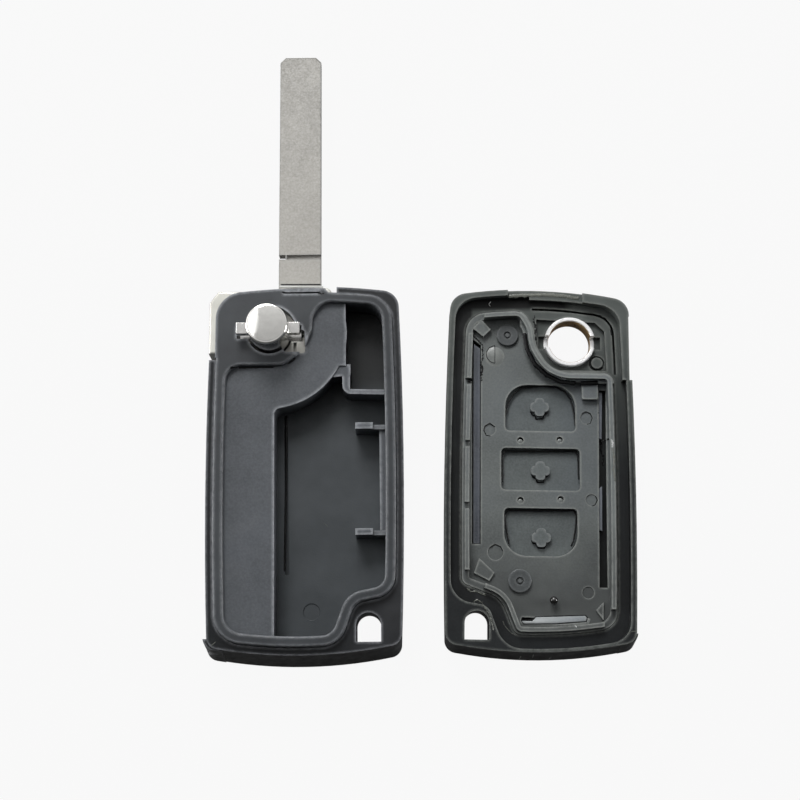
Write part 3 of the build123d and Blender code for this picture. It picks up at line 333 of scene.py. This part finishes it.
def ring_metal(name):
    """Bright turned ring whose bore keeps a brassy tone."""
    g = Graph(bpy.data.materials.new(name))
    shifted = g.add("ShaderNodeVectorMath", {"operation": "SUBTRACT"}, i0=g.coords)
    shifted.inputs[1].default_value = at(FRONT, *RING_CENTRE)
    flat = g.add("ShaderNodeVectorMath", {"operation": "MULTIPLY"}, i0=shifted.outputs[0])
    flat.inputs[1].default_value = (1, 1, 0)
    radius = g.add("ShaderNodeVectorMath", {"operation": "LENGTH"}, i0=flat.outputs[0]).outputs["Value"]
    bore = g.ramp(radius, (RING_BORE_R + 0.04) * MM, (RING_BORE_R - 0.04) * MM)
    smear = g.ramp(g.noise(500, 3, 0.6), 0.35, 0.7)
    bright = g.mix(smear, srgb(238, 238, 238), srgb(250, 250, 250))
    brass = g.mix(smear, srgb(132, 104, 62), srgb(186, 154, 100))
    colour = g.mix(bore, bright, brass)
    return g.shade(Base_Color=colour, Metallic=0.25, Roughness=g.ramp(g.noise(900, 2), 0.3, 0.7, 0.26, 0.36),
                   Normal=g.normal(g.noise(300, 2), 0.003, 0.1))


RING_METAL = ring_metal("button_ring_metal")
PIN_STEEL = chrome("pin_and_spring_steel", (0.5, 0.5, 0.51), 0.3)

FINISH = {
    "rear_shell": BLACK_SHELL, "inner_tray": BLACK_TRAY,
    "front_shell": FRONT_BLACK, "front_frame": BLACK_FRAME,
    "key_top": KEY_RUBBER, "key_middle": KEY_RUBBER, "key_bottom": KEY_RUBBER, "button_ring": RING_METAL,
    "frame_rivet_upper": RIVET_BLACK, "frame_rivet_lower": RIVET_BLACK, "flip_head": HEAD_SATIN,
    "release_button": CHROME, "key_blade": BLADE_STEEL, "blade_pin": PIN_STEEL, "flip_spring": PIN_STEEL,
}
for node, material in FINISH.items():
    slots = NODES[node].data.materials
    slots.clear()
    slots.append(material)


# Floor, light and camera, in metres and watts
WHITE = (1, 1, 1)
FLOOR_HALF = 3.0
FLOOR_DROP = 0.00002
FLOOR_GREY = (0.16, 0.16, 0.16)
FLOOR_GLOW = 0.93
FLOOR_MIRRORED = 0.06

# The sky gets brighter from south to north; its strengths are those on plain faces and in mirrors
SKY_SOUTH, SKY_NORTH = -0.5, 0.8
SKY_PLAIN = (0.0, 0.36)
SKY_MIRRORED = (0.08, 0.95)

# Name, place, aim, size, power and shape of each area light
LIGHTS = (
    ("key_light", (-0.12, 0.5, 0.45), (0, 0, 0), 0.3, 4.0, "SQUARE"),
    ("upper_card", (-0.36, 0.17, 0.475), (-0.03, 0, 0.01), 0.5, 0.8, "DISK"),
    ("left_box", (-0.6, 0.05, 0.13), (0, 0, 0), 0.25, 2.7, "SQUARE"),
    ("right_box", (0.6, 0.0, 0.13), (0, 0, 0), 0.25, 2.6, "SQUARE"),
)


def floor():
    """Wide floor that glows white to the camera and faintly in mirrors, and is dark grey to other light."""
    mesh = bpy.data.meshes.new("floor")
    corners = [(x * FLOOR_HALF, y * FLOOR_HALF, 0) for x, y in ((-1, -1), (1, -1), (1, 1), (-1, 1))]
    mesh.from_pydata(corners, [], [(0, 1, 2, 3)])
    obj = bpy.data.objects.new("floor", mesh)
    obj.location.z = -FLOOR_DROP
    bpy.context.scene.collection.objects.link(obj)
    g = Graph(bpy.data.materials.new("floor_white"))
    path = g.add("ShaderNodeLightPath").outputs
    faint = g.math("MULTIPLY", path["Is Glossy Ray"], FLOOR_MIRRORED)
    seen = g.math("MAXIMUM", path["Is Camera Ray"], faint)
    plain = g.add("ShaderNodeBsdfDiffuse", Color=FLOOR_GREY).outputs[0]
    glow = g.add("ShaderNodeEmission", Color=WHITE, Strength=1.0).outputs[0]
    mesh.materials.append(g.end(g.blend(seen, plain, g.blend(FLOOR_GLOW, plain, glow))))


def area(name, place, aim, size, power, shape):
    """Area light at a place, turned towards its aim."""
    light = bpy.data.lights.new(name, "AREA")
    light.shape = shape
    light.size = size
    light.energy = power
    obj = bpy.data.objects.new(name, light)
    obj.location = place
    obj.rotation_mode = "QUATERNION"
    obj.rotation_quaternion = (Vector(aim) - Vector(place)).to_track_quat("-Z", "Y")
    bpy.context.scene.collection.objects.link(obj)


def world():
    """White to the camera, and a sky that brightens towards the north to all other light."""
    bpy.context.scene.world = bpy.data.worlds.new("studio")
    g = Graph(bpy.context.scene.world, "ShaderNodeOutputWorld", "Generated")
    northward = g.add("ShaderNodeSeparateXYZ", i0=g.coords).outputs["Y"]
    path = g.add("ShaderNodeLightPath").outputs
    skies = []
    for south, north in (SKY_PLAIN, SKY_MIRRORED):
        strength = g.ramp(northward, SKY_SOUTH, SKY_NORTH, south, north)
        skies.append(g.add("ShaderNodeBackground", Color=WHITE, Strength=strength).outputs[0])
    seen = g.add("ShaderNodeBackground", Color=WHITE, Strength=1.0).outputs[0]
    g.end(g.blend(path["Is Camera Ray"], g.blend(path["Is Glossy Ray"], *skies), seen))


def camera():
    """The photograph's camera."""
    lens = bpy.data.cameras.new("camera")
    lens.lens = LENS
    lens.sensor_width = FILM
    obj = bpy.data.objects.new("camera", lens)
    obj.location = EYE
    obj.rotation_euler = (TILT, 0, 0)
    bpy.context.scene.collection.objects.link(obj)
    bpy.context.scene.camera = obj
    bpy.context.scene.view_settings.view_transform = "Standard"


floor()
world()
for light in LIGHTS:
    area(*light)
camera()


# Places on the model and in the picture
def carriers():
    """All CAD nodes at rest as one search tree."""
    points, faces = [], []
    for node in NODES.values():
        start = len(points)
        points += [node.matrix_world @ v.co for v in node.data.vertices]
        faces += [[start + i for i in p.vertices] for p in node.data.polygons]
    return BVHTree.FromPolygons(points, faces)


SURFACE = carriers()


def sight(x, y):
    """The direction from the eye through a point of the picture."""
    half = PICTURE / 2
    return Matrix.Rotation(TILT, 3, "X") @ Vector((x - half, half - y, -LENS / FILM * PICTURE)).normalized()


def seen_at(x, y):
    """Where the line of sight through a point of the picture meets the model, and the face's direction."""
    ray = sight(x, y)
    point, facing, _, _ = SURFACE.ray_cast(EYE, ray)
    if point is not None and facing.dot(ray) > 0:
        facing = -facing
    return point, facing


def above(x, y, height):
    """The point in mm, at a height over the floor, that the picture shows at x, y."""
    ray = sight(x, y)
    spot = EYE + ray * ((height * MM - EYE.z) / ray.z)
    return spot.x / MM, spot.y / MM


def front_spots(spots):
    """Points given along the front half, in mm in the common frame."""
    placed = [at(FRONT, *spot) for spot in spots]
    return [(spot.x / MM, spot.y / MM) for spot in placed]


# Shapes of the small pieces
def put(name, mesh, material, body):
    """Adds a small piece that rides a body and has the one material given."""
    mesh.materials.append(material)
    for polygon in mesh.polygons:
        polygon.use_smooth = True
    obj = bpy.data.objects.new(name, mesh)
    bpy.context.scene.collection.objects.link(obj)
    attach(obj, body)
    return obj


def put_inside(name, mesh, material):
    """Adds a small piece to the shell's inner plastic."""
    put(name, mesh, material, "shell")


def mesh_of(name, points, faces):
    """The mesh of points in metres and faces."""
    mesh = bpy.data.meshes.new(name)
    mesh.from_pydata([tuple(p) for p in points], [], faces)
    mesh.validate()
    mesh.update()
    return mesh


def mesh_from(name, shape):
    """The mesh of an edited shape, which is let go."""
    mesh = bpy.data.meshes.new(name)
    shape.to_mesh(mesh)
    shape.free()
    return mesh


def turned(name, centre, profile, steps=96):
    """Closed body of revolution about a vertical axis.

    The profile is pairs of radius and height in mm, from the bottom to the top, which is at radius 0."""
    points, faces = [], []
    for radius, height in profile[:-1]:
        for step in range(steps):
            a = 2 * math.pi * step / steps
            points.append(centre + Vector((radius * math.cos(a), radius * math.sin(a), height)) * MM)
    rings = len(profile) - 1
    for ring in range(rings - 1):
        for step in range(steps):
            a, b = ring * steps + step, ring * steps + (step + 1) % steps
            faces.append((a, b, b + steps, a + steps))
    points.append(centre + Vector((0, 0, profile[-1][1])) * MM)
    top = (rings - 1) * steps
    for step in range(steps):
        faces.append((top + step, top + (step + 1) % steps, len(points) - 1))
    faces.append(tuple(reversed(range(steps))))
    return mesh_of(name, points, faces)


# How deep a bead's feet lie under the surface in mm, its shoulders as shares of half its width and of its
# height, and its share of full size at its two ends
BEAD_SINK = 0.06
SHOULDER_OUT, SHOULDER_UP = 0.8, 0.7
BEAD_END = 0.35
UP = Vector((0, 0, 1))


def along(route, spacing):
    """Points at an even spacing along a polyline of picture points."""
    out = [Vector(route[0])]
    for a, b in zip(route, route[1:]):
        a, b = Vector(a), Vector(b)
        count = max(1, round((b - a).length / spacing))
        out += [a.lerp(b, i / count) for i in range(1, count + 1)]
    return out


def bead(name, route, width, height, ragged=0.0, spacing=0.8, seed=1, level=None):
    """Low rounded bead along a route of picture points, width and height in mm; ragged varies its shape.

    It follows the surface seen there, or lies at a level in mm over the floor."""
    rng = random.Random(seed)
    if level is not None:
        samples = [(Vector((*above(*p, level), level)) * MM, UP) for p in along(route, spacing)]
    else:
        samples = [found for found in (seen_at(*p) for p in along(route, spacing)) if found[0] is not None]
    spots = [p for p, _ in samples]
    sections, points = [], []
    for i, (spot, facing) in enumerate(samples):
        ahead = spots[min(i + 1, len(spots) - 1)] - spots[max(i - 1, 0)]
        side = ahead.cross(facing).normalized()
        taper = BEAD_END if i in (0, len(samples) - 1) else 1.0
        half = width / 2 * taper * (1 + ragged * rng.uniform(-0.8, 1.0))
        top = height * taper * (1 + ragged * rng.uniform(-0.5, 0.6))
        shift = side * (ragged * rng.uniform(-0.4, 0.4) * width * MM)
        shoulder = top * SHOULDER_UP
        outline = ((-1, -BEAD_SINK), (-SHOULDER_OUT, shoulder), (0, top),
                   (SHOULDER_OUT, shoulder), (1, -BEAD_SINK))
        section = []
        for across, up in outline:
            section.append(len(points))
            points.append(spot + shift + side * (across * half * MM) + facing * (up * MM))
        sections.append(section)
    faces = [tuple(sections[0]), tuple(reversed(sections[-1]))]
    for a, b in zip(sections, sections[1:]):
        for i in range(len(a)):
            j = (i + 1) % len(a)
            faces.append((a[j], a[i], b[i], b[j]))
    return mesh_of(name, points, faces)


def plate(name, corners, low, high, edge=0.1):
    """Flat plate between two heights, over a polygon in the common frame; its top edges are rounded."""
    shape = bmesh.new()
    face = shape.faces.new([shape.verts.new(Vector((x, y, low)) * MM) for x, y in corners])
    grown = bmesh.ops.extrude_face_region(shape, geom=[face])
    for vert in grown["geom"]:
        if isinstance(vert, bmesh.types.BMVert):
            vert.co.z = high * MM
    bmesh.ops.recalc_face_normals(shape, faces=shape.faces)
    middle = (low + high) / 2 * MM
    rim = [line for line in shape.edges if all(vert.co.z > middle for vert in line.verts)]
    bmesh.ops.bevel(shape, geom=rim, offset=edge * MM, segments=3, profile=0.5, affect="EDGES")
    return mesh_from(name, shape)


# The coil's points to a turn and round the wire, its closed end turns, and their pitch in wire radii
COIL_STEPS = 40
COIL_SIDES = 12
CLOSED_TURNS = 0.9
CLOSED_PITCH = 2.08


def coil_spring(name, centre, radius, wire, low, high, turns):
    """Compression spring of round wire between two heights, with closed end turns.

    Radius, the wire's radius and the heights are in mm."""
    shape = bmesh.new()
    steps = COIL_STEPS * turns
    end_pitch = CLOSED_PITCH * wire
    free_pitch = (high - low - 2 * wire - 2 * CLOSED_TURNS * end_pitch) / (turns - 2 * CLOSED_TURNS)
    spots = []
    height = low + wire
    for i in range(steps + 1):
        angle = 2 * math.pi * turns * i / steps
        spots.append(centre + Vector((radius * math.cos(angle), radius * math.sin(angle), height)) * MM)
        turn = turns * (i + 0.5) / steps
        closed = turn < CLOSED_TURNS or turn > turns - CLOSED_TURNS
        height += (end_pitch if closed else free_pitch) * turns / steps
    round_wire = [2 * math.pi * side / COIL_SIDES for side in range(COIL_SIDES)]
    rings = []
    for i, spot in enumerate(spots):
        ahead = (spots[min(i + 1, steps)] - spots[max(i - 1, 0)]).normalized()
        outward = Vector((spot.x - centre.x, spot.y - centre.y, 0)).normalized()
        up = ahead.cross(outward).normalized()
        outward = up.cross(ahead)
        rings.append([shape.verts.new(spot + (outward * math.cos(a) + up * math.sin(a)) * wire * MM)
                      for a in round_wire])
    for lower, upper in zip(rings, rings[1:]):
        for a in range(COIL_SIDES):
            b = (a + 1) % COIL_SIDES
            shape.faces.new((lower[a], lower[b], upper[b], upper[a]))
    shape.faces.new(rings[0])
    shape.faces.new(rings[-1])
    bmesh.ops.recalc_face_normals(shape, faces=shape.faces)
    return mesh_from(name, shape)


# Domed cap of the release button, with the fine turned line near its rim: radii and heights in mm
cap_centre = at(REAR, *PIVOT)
CAP_PROFILE = ((4.06, 15.9), (4.08, 16.6), (4.05, 16.85), (3.96, 17.02), (3.82, 17.1), (3.7, 17.12),
               (3.62, 17.1), (3.54, 17.12), (3.3, 17.144), (2.9, 17.181), (2.4, 17.219), (1.9, 17.248),
               (1.3, 17.274), (0.7, 17.289), (0, 17.295))
put("button_cap", turned("button_cap", cap_centre, CAP_PROFILE), CAP_CHROME, "button")

# The spring inside the button, in the place of the CAD's stiff one
SPRING_R = 2.55
SPRING_WIRE_R = 0.35
SPRING_TURNS = 8
spring_low, spring_high = (corner.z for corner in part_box("flip_spring"))
spring_mesh = coil_spring("coil_spring", cap_centre, SPRING_R, SPRING_WIRE_R,
                          spring_low / MM, spring_high / MM, SPRING_TURNS)
spring = put("coil_spring", spring_mesh, PIN_STEEL, "head")
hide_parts("flip_spring")
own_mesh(spring)

# Bright collar across the blade's foot, in mm in the common frame, with the dark seam above it
COLLAR = ((-28.35, 12.15), (-19.55, 12.04), (-19.55, 12.42), (-28.35, 12.53))
collar_mesh = plate("blade_collar", COLLAR, low=5.9, high=6.42, edge=0.08)
put("blade_collar", collar_mesh, SCUFF_PALE, "head")
SEAM = ((280.4, 284.7), (300, 284.6), (322.8, 284.6))
put("blade_seam", bead("blade_seam", SEAM, width=0.38, height=0.03), DEEP_BLACK, "head")

# Strip in the lower slot of the frame, with the dark gap round it and the sill below: name, look, bottom, top
# and rounding in mm, and the corners where the picture shows them at the height of the top
SLOT_PIECES = (
    ("slot_gap", DEEP_BLACK, 2.2, PLATE_TOP + 0.03, 0.02,
     ((520.6, 620), (523.4, 624.4), (555, 624.2), (586.8, 622), (588, 617.2), (585.6, 614.7),
      (535.6, 616.2), (531.8, 619.8))),
    ("slot_strip", STRIP_GREY, 2.0, PLATE_TOP + 0.1, 0.1,
     ((521.6, 620.9), (523.9, 623.7), (555, 623.4), (586.2, 621.2), (587, 617.6), (585, 615.8),
      (536.2, 617.2), (532.4, 621))),
    ("slot_sill", BLACK_FRAME, 2.6, PLATE_TOP + 0.06, 0.04,
     ((558, 624.2), (586.8, 622), (588, 618), (590.5, 619), (589, 625.4), (560, 626))),
)
for name, material, low, high, rounding, outline in SLOT_PIECES:
    corners = [above(x, y, high) for x, y in outline]
    put_inside(name, plate(name, corners, low, high, rounding), material)

# Glossy ball at the end of the frame's short pin, just over the CAD's ball
BALL_R = 0.78
BALL_PLACE = (2.8, -26.1, PLATE_TOP + 1.2)
ball_angles = [step * math.pi / 20 for step in range(-9, 10)]
BALL_PROFILE = [(BALL_R * math.cos(angle), BALL_R * math.sin(angle)) for angle in ball_angles]
BALL_PROFILE.append((0, BALL_R))
put_inside("pin_ball", turned("pin_ball", at(FRONT, *BALL_PLACE), BALL_PROFILE, 40), BALL_BLACK)

# Levels in mm of the dark lines: the gaps at the keys' windows, drawn only along the upper edges and sides
# and so partly painted shade; the painted shadows on the lower sides of the crosses; the gaps round the
# moulding marks, and the gap on the tray's floor
WINDOW_GAP_AND_SHADE = PLATE_BOTTOM + 0.1
CROSS_SHADOW_LEVEL = FLANGE_TOP + 0.08
MARK_GAP = PLATE_TOP + 0.01
MOON_GAP = PLATE_TOP + 0.02
TRAY_GAP = CAVITY_FLOOR + 0.02
GAP_HEIGHT = 0.02
GAP_RAGGED = 0.12

# Name, body, width in mm, level and route of picture points of each dark line
GAPS = (
    # The windows' gaps, drawn only along their upper edges and sides: partly a real gap, partly painted shade
    ("window_gap_top", "shell", 0.34, WINDOW_GAP_AND_SHADE,
     ((503.4, 428), (504.6, 418), (508.6, 402), (514, 393.6), (522, 387.6), (541, 385.6), (556, 387),
      (565, 392), (571, 400), (574, 413), (575.4, 426.6))),
    ("window_gap_middle", "shell", 0.32, WINDOW_GAP_AND_SHADE,
     ((502.4, 482), (502.6, 455), (505.6, 451), (541, 451.2), (574.6, 450.6), (577.8, 455), (578.8, 480))),
    ("window_gap_bottom", "shell", 0.34, WINDOW_GAP_AND_SHADE,
     ((509.3, 544), (507.9, 538.5), (505.8, 525.2), (504.6, 514.6), (508.4, 510), (539, 510.4), (573.2, 510),
      (576.5, 514.6), (575.3, 530), (573.5, 540.6), (571, 546.6))),
    # Painted shadows along the lower sides of the crosses
    ("cross_gap_top", "key_top_body", 0.3, CROSS_SHADOW_LEVEL,
     ((530, 411), (532.3, 414.9), (535.1, 415.9), (536, 419.2), (542.8, 418.8), (544.1, 414.9),
      (547.7, 412.6))),
    ("cross_gap_middle", "key_middle_body", 0.3, CROSS_SHADOW_LEVEL,
     ((531, 473.4), (533.2, 477.4), (535.9, 478.6), (537.3, 482.4), (543.4, 482.3), (544.8, 478),
      (548.6, 475.2))),
    ("cross_gap_bottom", "key_bottom_body", 0.3, CROSS_SHADOW_LEVEL,
     ((531.6, 540), (532.9, 543), (535.8, 543.8), (538.1, 548), (544.4, 548), (546.5, 543.8), (550, 541.6))),
    ("mark_gap_left", "shell", 0.2, MARK_GAP,
     ((495.2, 427), (489.8, 423), (484.8, 426.1), (483.9, 430.7), (486.2, 435.2), (490.7, 436.1))),
    ("mark_gap_right", "shell", 0.17, MARK_GAP,
     ((581.7, 413.4), (585.8, 411.6), (590.3, 413.4), (592.3, 418), (590.3, 423.4), (586.7, 424.3))),
    ("mark_gap_lower", "shell", 0.17, MARK_GAP,
     ((595.3, 495.7), (597.4, 499.9), (595.3, 504.8), (591.8, 506.2))),
    ("mark_gap_wide", "shell", 0.14, MARK_GAP,
     ((490, 547.6), (494.9, 544.1), (500.5, 546.2), (502.6, 550.4))),
    ("half_moon_arc", "shell", 0.16, MOON_GAP,
     ((494.9, 345.4), (489.6, 347.4), (486.4, 352), (486.6, 357), (490, 361.6), (494.9, 363.4))),
    ("half_moon_line", "shell", 0.13, MOON_GAP, ((494.9, 345.4), (494.9, 354), (494.9, 363.4))),
    ("floor_slot_gap", "shell", 0.36, TRAY_GAP, ((286.8, 416.5), (285.6, 490), (284.4, 571.5))),
)
for name, body, width, level, route in GAPS:
    mesh = bead(name, route, width, GAP_HEIGHT, GAP_RAGGED, seed=len(name), level=level)
    put(name, mesh, DEEP_BLACK, body)

# Ragged moulding marks, burrs and scuffs, with painted shadows and a painted highlight among them: name,
# look, width and height in mm, raggedness and route
MARKS = (
    ("left_slot_cut", DEEP_BLACK, 0.28, 0.03, 0.7, ((472.7, 334.9), (483, 345.8))),
    ("left_slot_rags", DEEP_BLACK, 0.24, 0.03, 1.0,
     ((483, 346), (482, 352), (483.2, 357), (481, 363), (483, 368), (481.2, 376))),
    # Black beads of painted shadow under the ridge, under the hub and in the corner groove
    ("ridge_foot_gap", DEEP_BLACK, 0.95, 0.02, 0.08,
     ((524.6, 333), (527.4, 349), (535.2, 364.2), (546.4, 374.6), (560.3, 381.4), (577, 383.2),
      (598, 382.4))),
    ("hub_foot_gap", DEEP_BLACK, 0.7, 0.02, 0.08,
     ((230.5, 368.2), (236, 367.1), (253, 366.8), (271.5, 366.6), (282.6, 365.4), (290.6, 361.4),
      (295.4, 358))),
    ("corner_groove_gap", DEEP_BLACK, 0.44, 0.02, 0.08,
     ((531.9, 309.4), (547, 309.8), (563.4, 311), (578, 312.4), (592.2, 314), (600, 315.7), (605.4, 318.8),
      (610, 326.4), (612.8, 339.8), (614.6, 358), (615.4, 374))),
    ("left_edge_rags", DEEP_BLACK, 0.26, 0.03, 1.0, ((481.2, 364), (481.8, 372), (481.4, 381))),
    ("left_ridge_hole", DEEP_BLACK, 0.75, 0.03, 0.6, ((466, 378.4), (470.5, 379.6), (469.2, 383))),
    ("hub_edge_rags", DEEP_BLACK, 0.3, 0.04, 1.0,
     ((534.5, 315), (533.6, 321), (536, 328), (535.3, 336), (537, 344))),
    ("right_crack", DEEP_BLACK, 0.2, 0.03, 0.6, ((598.3, 403.5), (600.3, 408), (598.2, 413.4))),
    ("right_tear", DEEP_BLACK, 0.3, 0.03, 1.0,
     ((609.3, 438.8), (601, 442), (600.4, 450.6), (603.6, 458), (602.6, 466))),
    ("right_flake", SCUFF_PALE, 0.3, 0.09, 0.8, ((611.6, 439.2), (613, 443), (612.2, 447.5))),
    ("right_flash", FLASH_AND_HIGHLIGHT_GREY, 0.36, 0.06, 0.6, ((612.6, 448), (614, 458), (613.6, 469), (615, 481))),
    # Pale line along the top edge: a painted highlight
    ("top_line", FLASH_AND_HIGHLIGHT_GREY, 0.12, 0.05, 0.4, ((532, 309.4), (545, 308.2), (560, 309.6), (579, 310.4))),
    ("band_burr", SCUFF_PALE, 0.22, 0.08, 0.8, ((561, 376.8), (563, 378.8), (566, 378.6))),
    ("hub_chevron", SCUFF_PALE, 0.16, 0.05, 0.2, ((491, 301.6), (488.6, 304.3), (490.6, 306.6))),
    ("groove_flash_one", FLASH_AND_HIGHLIGHT_GREY, 0.26, 0.08, 1.0,
     ((466.4, 588.4), (471.4, 591.6), (475.3, 590.9), (479.2, 593), (486.6, 595.6))),
    ("groove_flash_two", FLASH_AND_HIGHLIGHT_GREY, 0.24, 0.08, 1.0,
     ((473.4, 602.6), (476.4, 599.8), (481.6, 602.4), (485.8, 609), (490.2, 616.4), (492.2, 624),
      (493.4, 631))),
    ("groove_scratch", FLASH_AND_HIGHLIGHT_GREY, 0.12, 0.03, 1.0,
     ((502.7, 621), (505.4, 626.7), (511.2, 633), (515.6, 635.6))),
    ("foot_scuff_one", SCUFF_PALE, 0.16, 0.04, 0.3, ((518.8, 659.4), (521, 656.2))),
    ("foot_scuff_two", SCUFF_PALE, 0.16, 0.04, 0.3, ((533.5, 654.6), (532.4, 658))),
    ("foot_scuff_three", SCUFF_PALE, 0.13, 0.04, 0.3, ((548.6, 658.8), (551.6, 656.8))),
    ("ridge_speck", SCUFF_PALE, 0.3, 0.06, 0.5, ((575.2, 625), (576.6, 627.6))),
    ("corner_seam", FLASH_AND_HIGHLIGHT_GREY, 0.14, 0.04, 0.3, ((628.4, 632.6), (633, 631.4), (637.6, 631.4))),
    ("rear_corner_seam", FLASH_AND_HIGHLIGHT_GREY, 0.14, 0.04, 0.2, ((208.2, 648.4), (216, 641.6))),
    ("rear_top_gap", DEEP_BLACK, 0.34, 0.03, 0.3, ((282, 292.2), (300, 292.9), (324, 293.6))),
    ("hub_scratch", FLASH_AND_HIGHLIGHT_GREY, 0.1, 0.03, 0.5, ((323.4, 523.4), (326, 524.6), (327.6, 527))),
)
for seed, (name, material, width, height, ragged, route) in enumerate(MARKS):
    put_inside(name, bead(name, route, width, height, ragged, seed=seed), material)

# Grey floors of the side slots of the frame, in mm along the front half
SLOT_FLOOR_LOW, SLOT_FLOOR_HIGH = 1.6, 3.0
SLOT_FLOORS = {
    "left_slot_floor": ((-12.75, -15.2), (-11.4, -15.2), (-11.5, 24.3), (-12.85, 25.2)),
    "right_slot_floor_upper": ((11.9, 6.2), (12.75, 6.0), (12.95, 15.6), (12.25, 15.6)),
    "right_slot_floor_lower": ((11.9, -12.0), (12.6, -12.4), (12.65, -3.4), (11.9, -4.0)),
}
for name, spots in SLOT_FLOORS.items():
    put_inside(name, plate(name, front_spots(spots), SLOT_FLOOR_LOW, SLOT_FLOOR_HIGH), SLOT_GREY)

# Bottoms of the four blind pin holes, a little towards the foot: places, then radii and heights, in mm
PIN_HOLES = ((-3.5, 5.5), (4.3, 5.7), (-3.5, -6.5), (4.4, -6.2))
HOLE_BOTTOM_SHIFT = 0.26
HOLE_BOTTOM = ((0.5, 2.7), (0.5, 3.18), (0.46, 3.22), (0, 3.23))
for index, (x, y) in enumerate(PIN_HOLES):
    name = "pin_hole_bottom_%d" % index
    put_inside(name, turned(name, at(FRONT, x, y - HOLE_BOTTOM_SHIFT), HOLE_BOTTOM, 32), BLACK_FRAME)

# Smooth disc under the half-moon mark, closing the CAD's sunk one
HALF_MOON = (-8.6, 22.6)
HALF_MOON_FLOOR = ((1.97, 3.0), (1.97, 3.38), (1.93, 3.405), (0, 3.41))
moon_mesh = turned("half_moon_floor", at(FRONT, *HALF_MOON), HALF_MOON_FLOOR, 64)
put_inside("half_moon_floor", moon_mesh, BLACK_FRAME)

# Rough lowered top rim of the front half
ROUGH_RIM = ((508.5, 296.4), (520, 295.4), (545, 294.8), (565, 296.2), (579, 298.6))
rim_mesh = bead("rough_top_rim", ROUGH_RIM, width=0.8, height=0.05, ragged=0.4, spacing=0.35, seed=77)
put("rough_top_rim", rim_mesh, FLASH_AND_HIGHLIGHT_GREY, "shell")
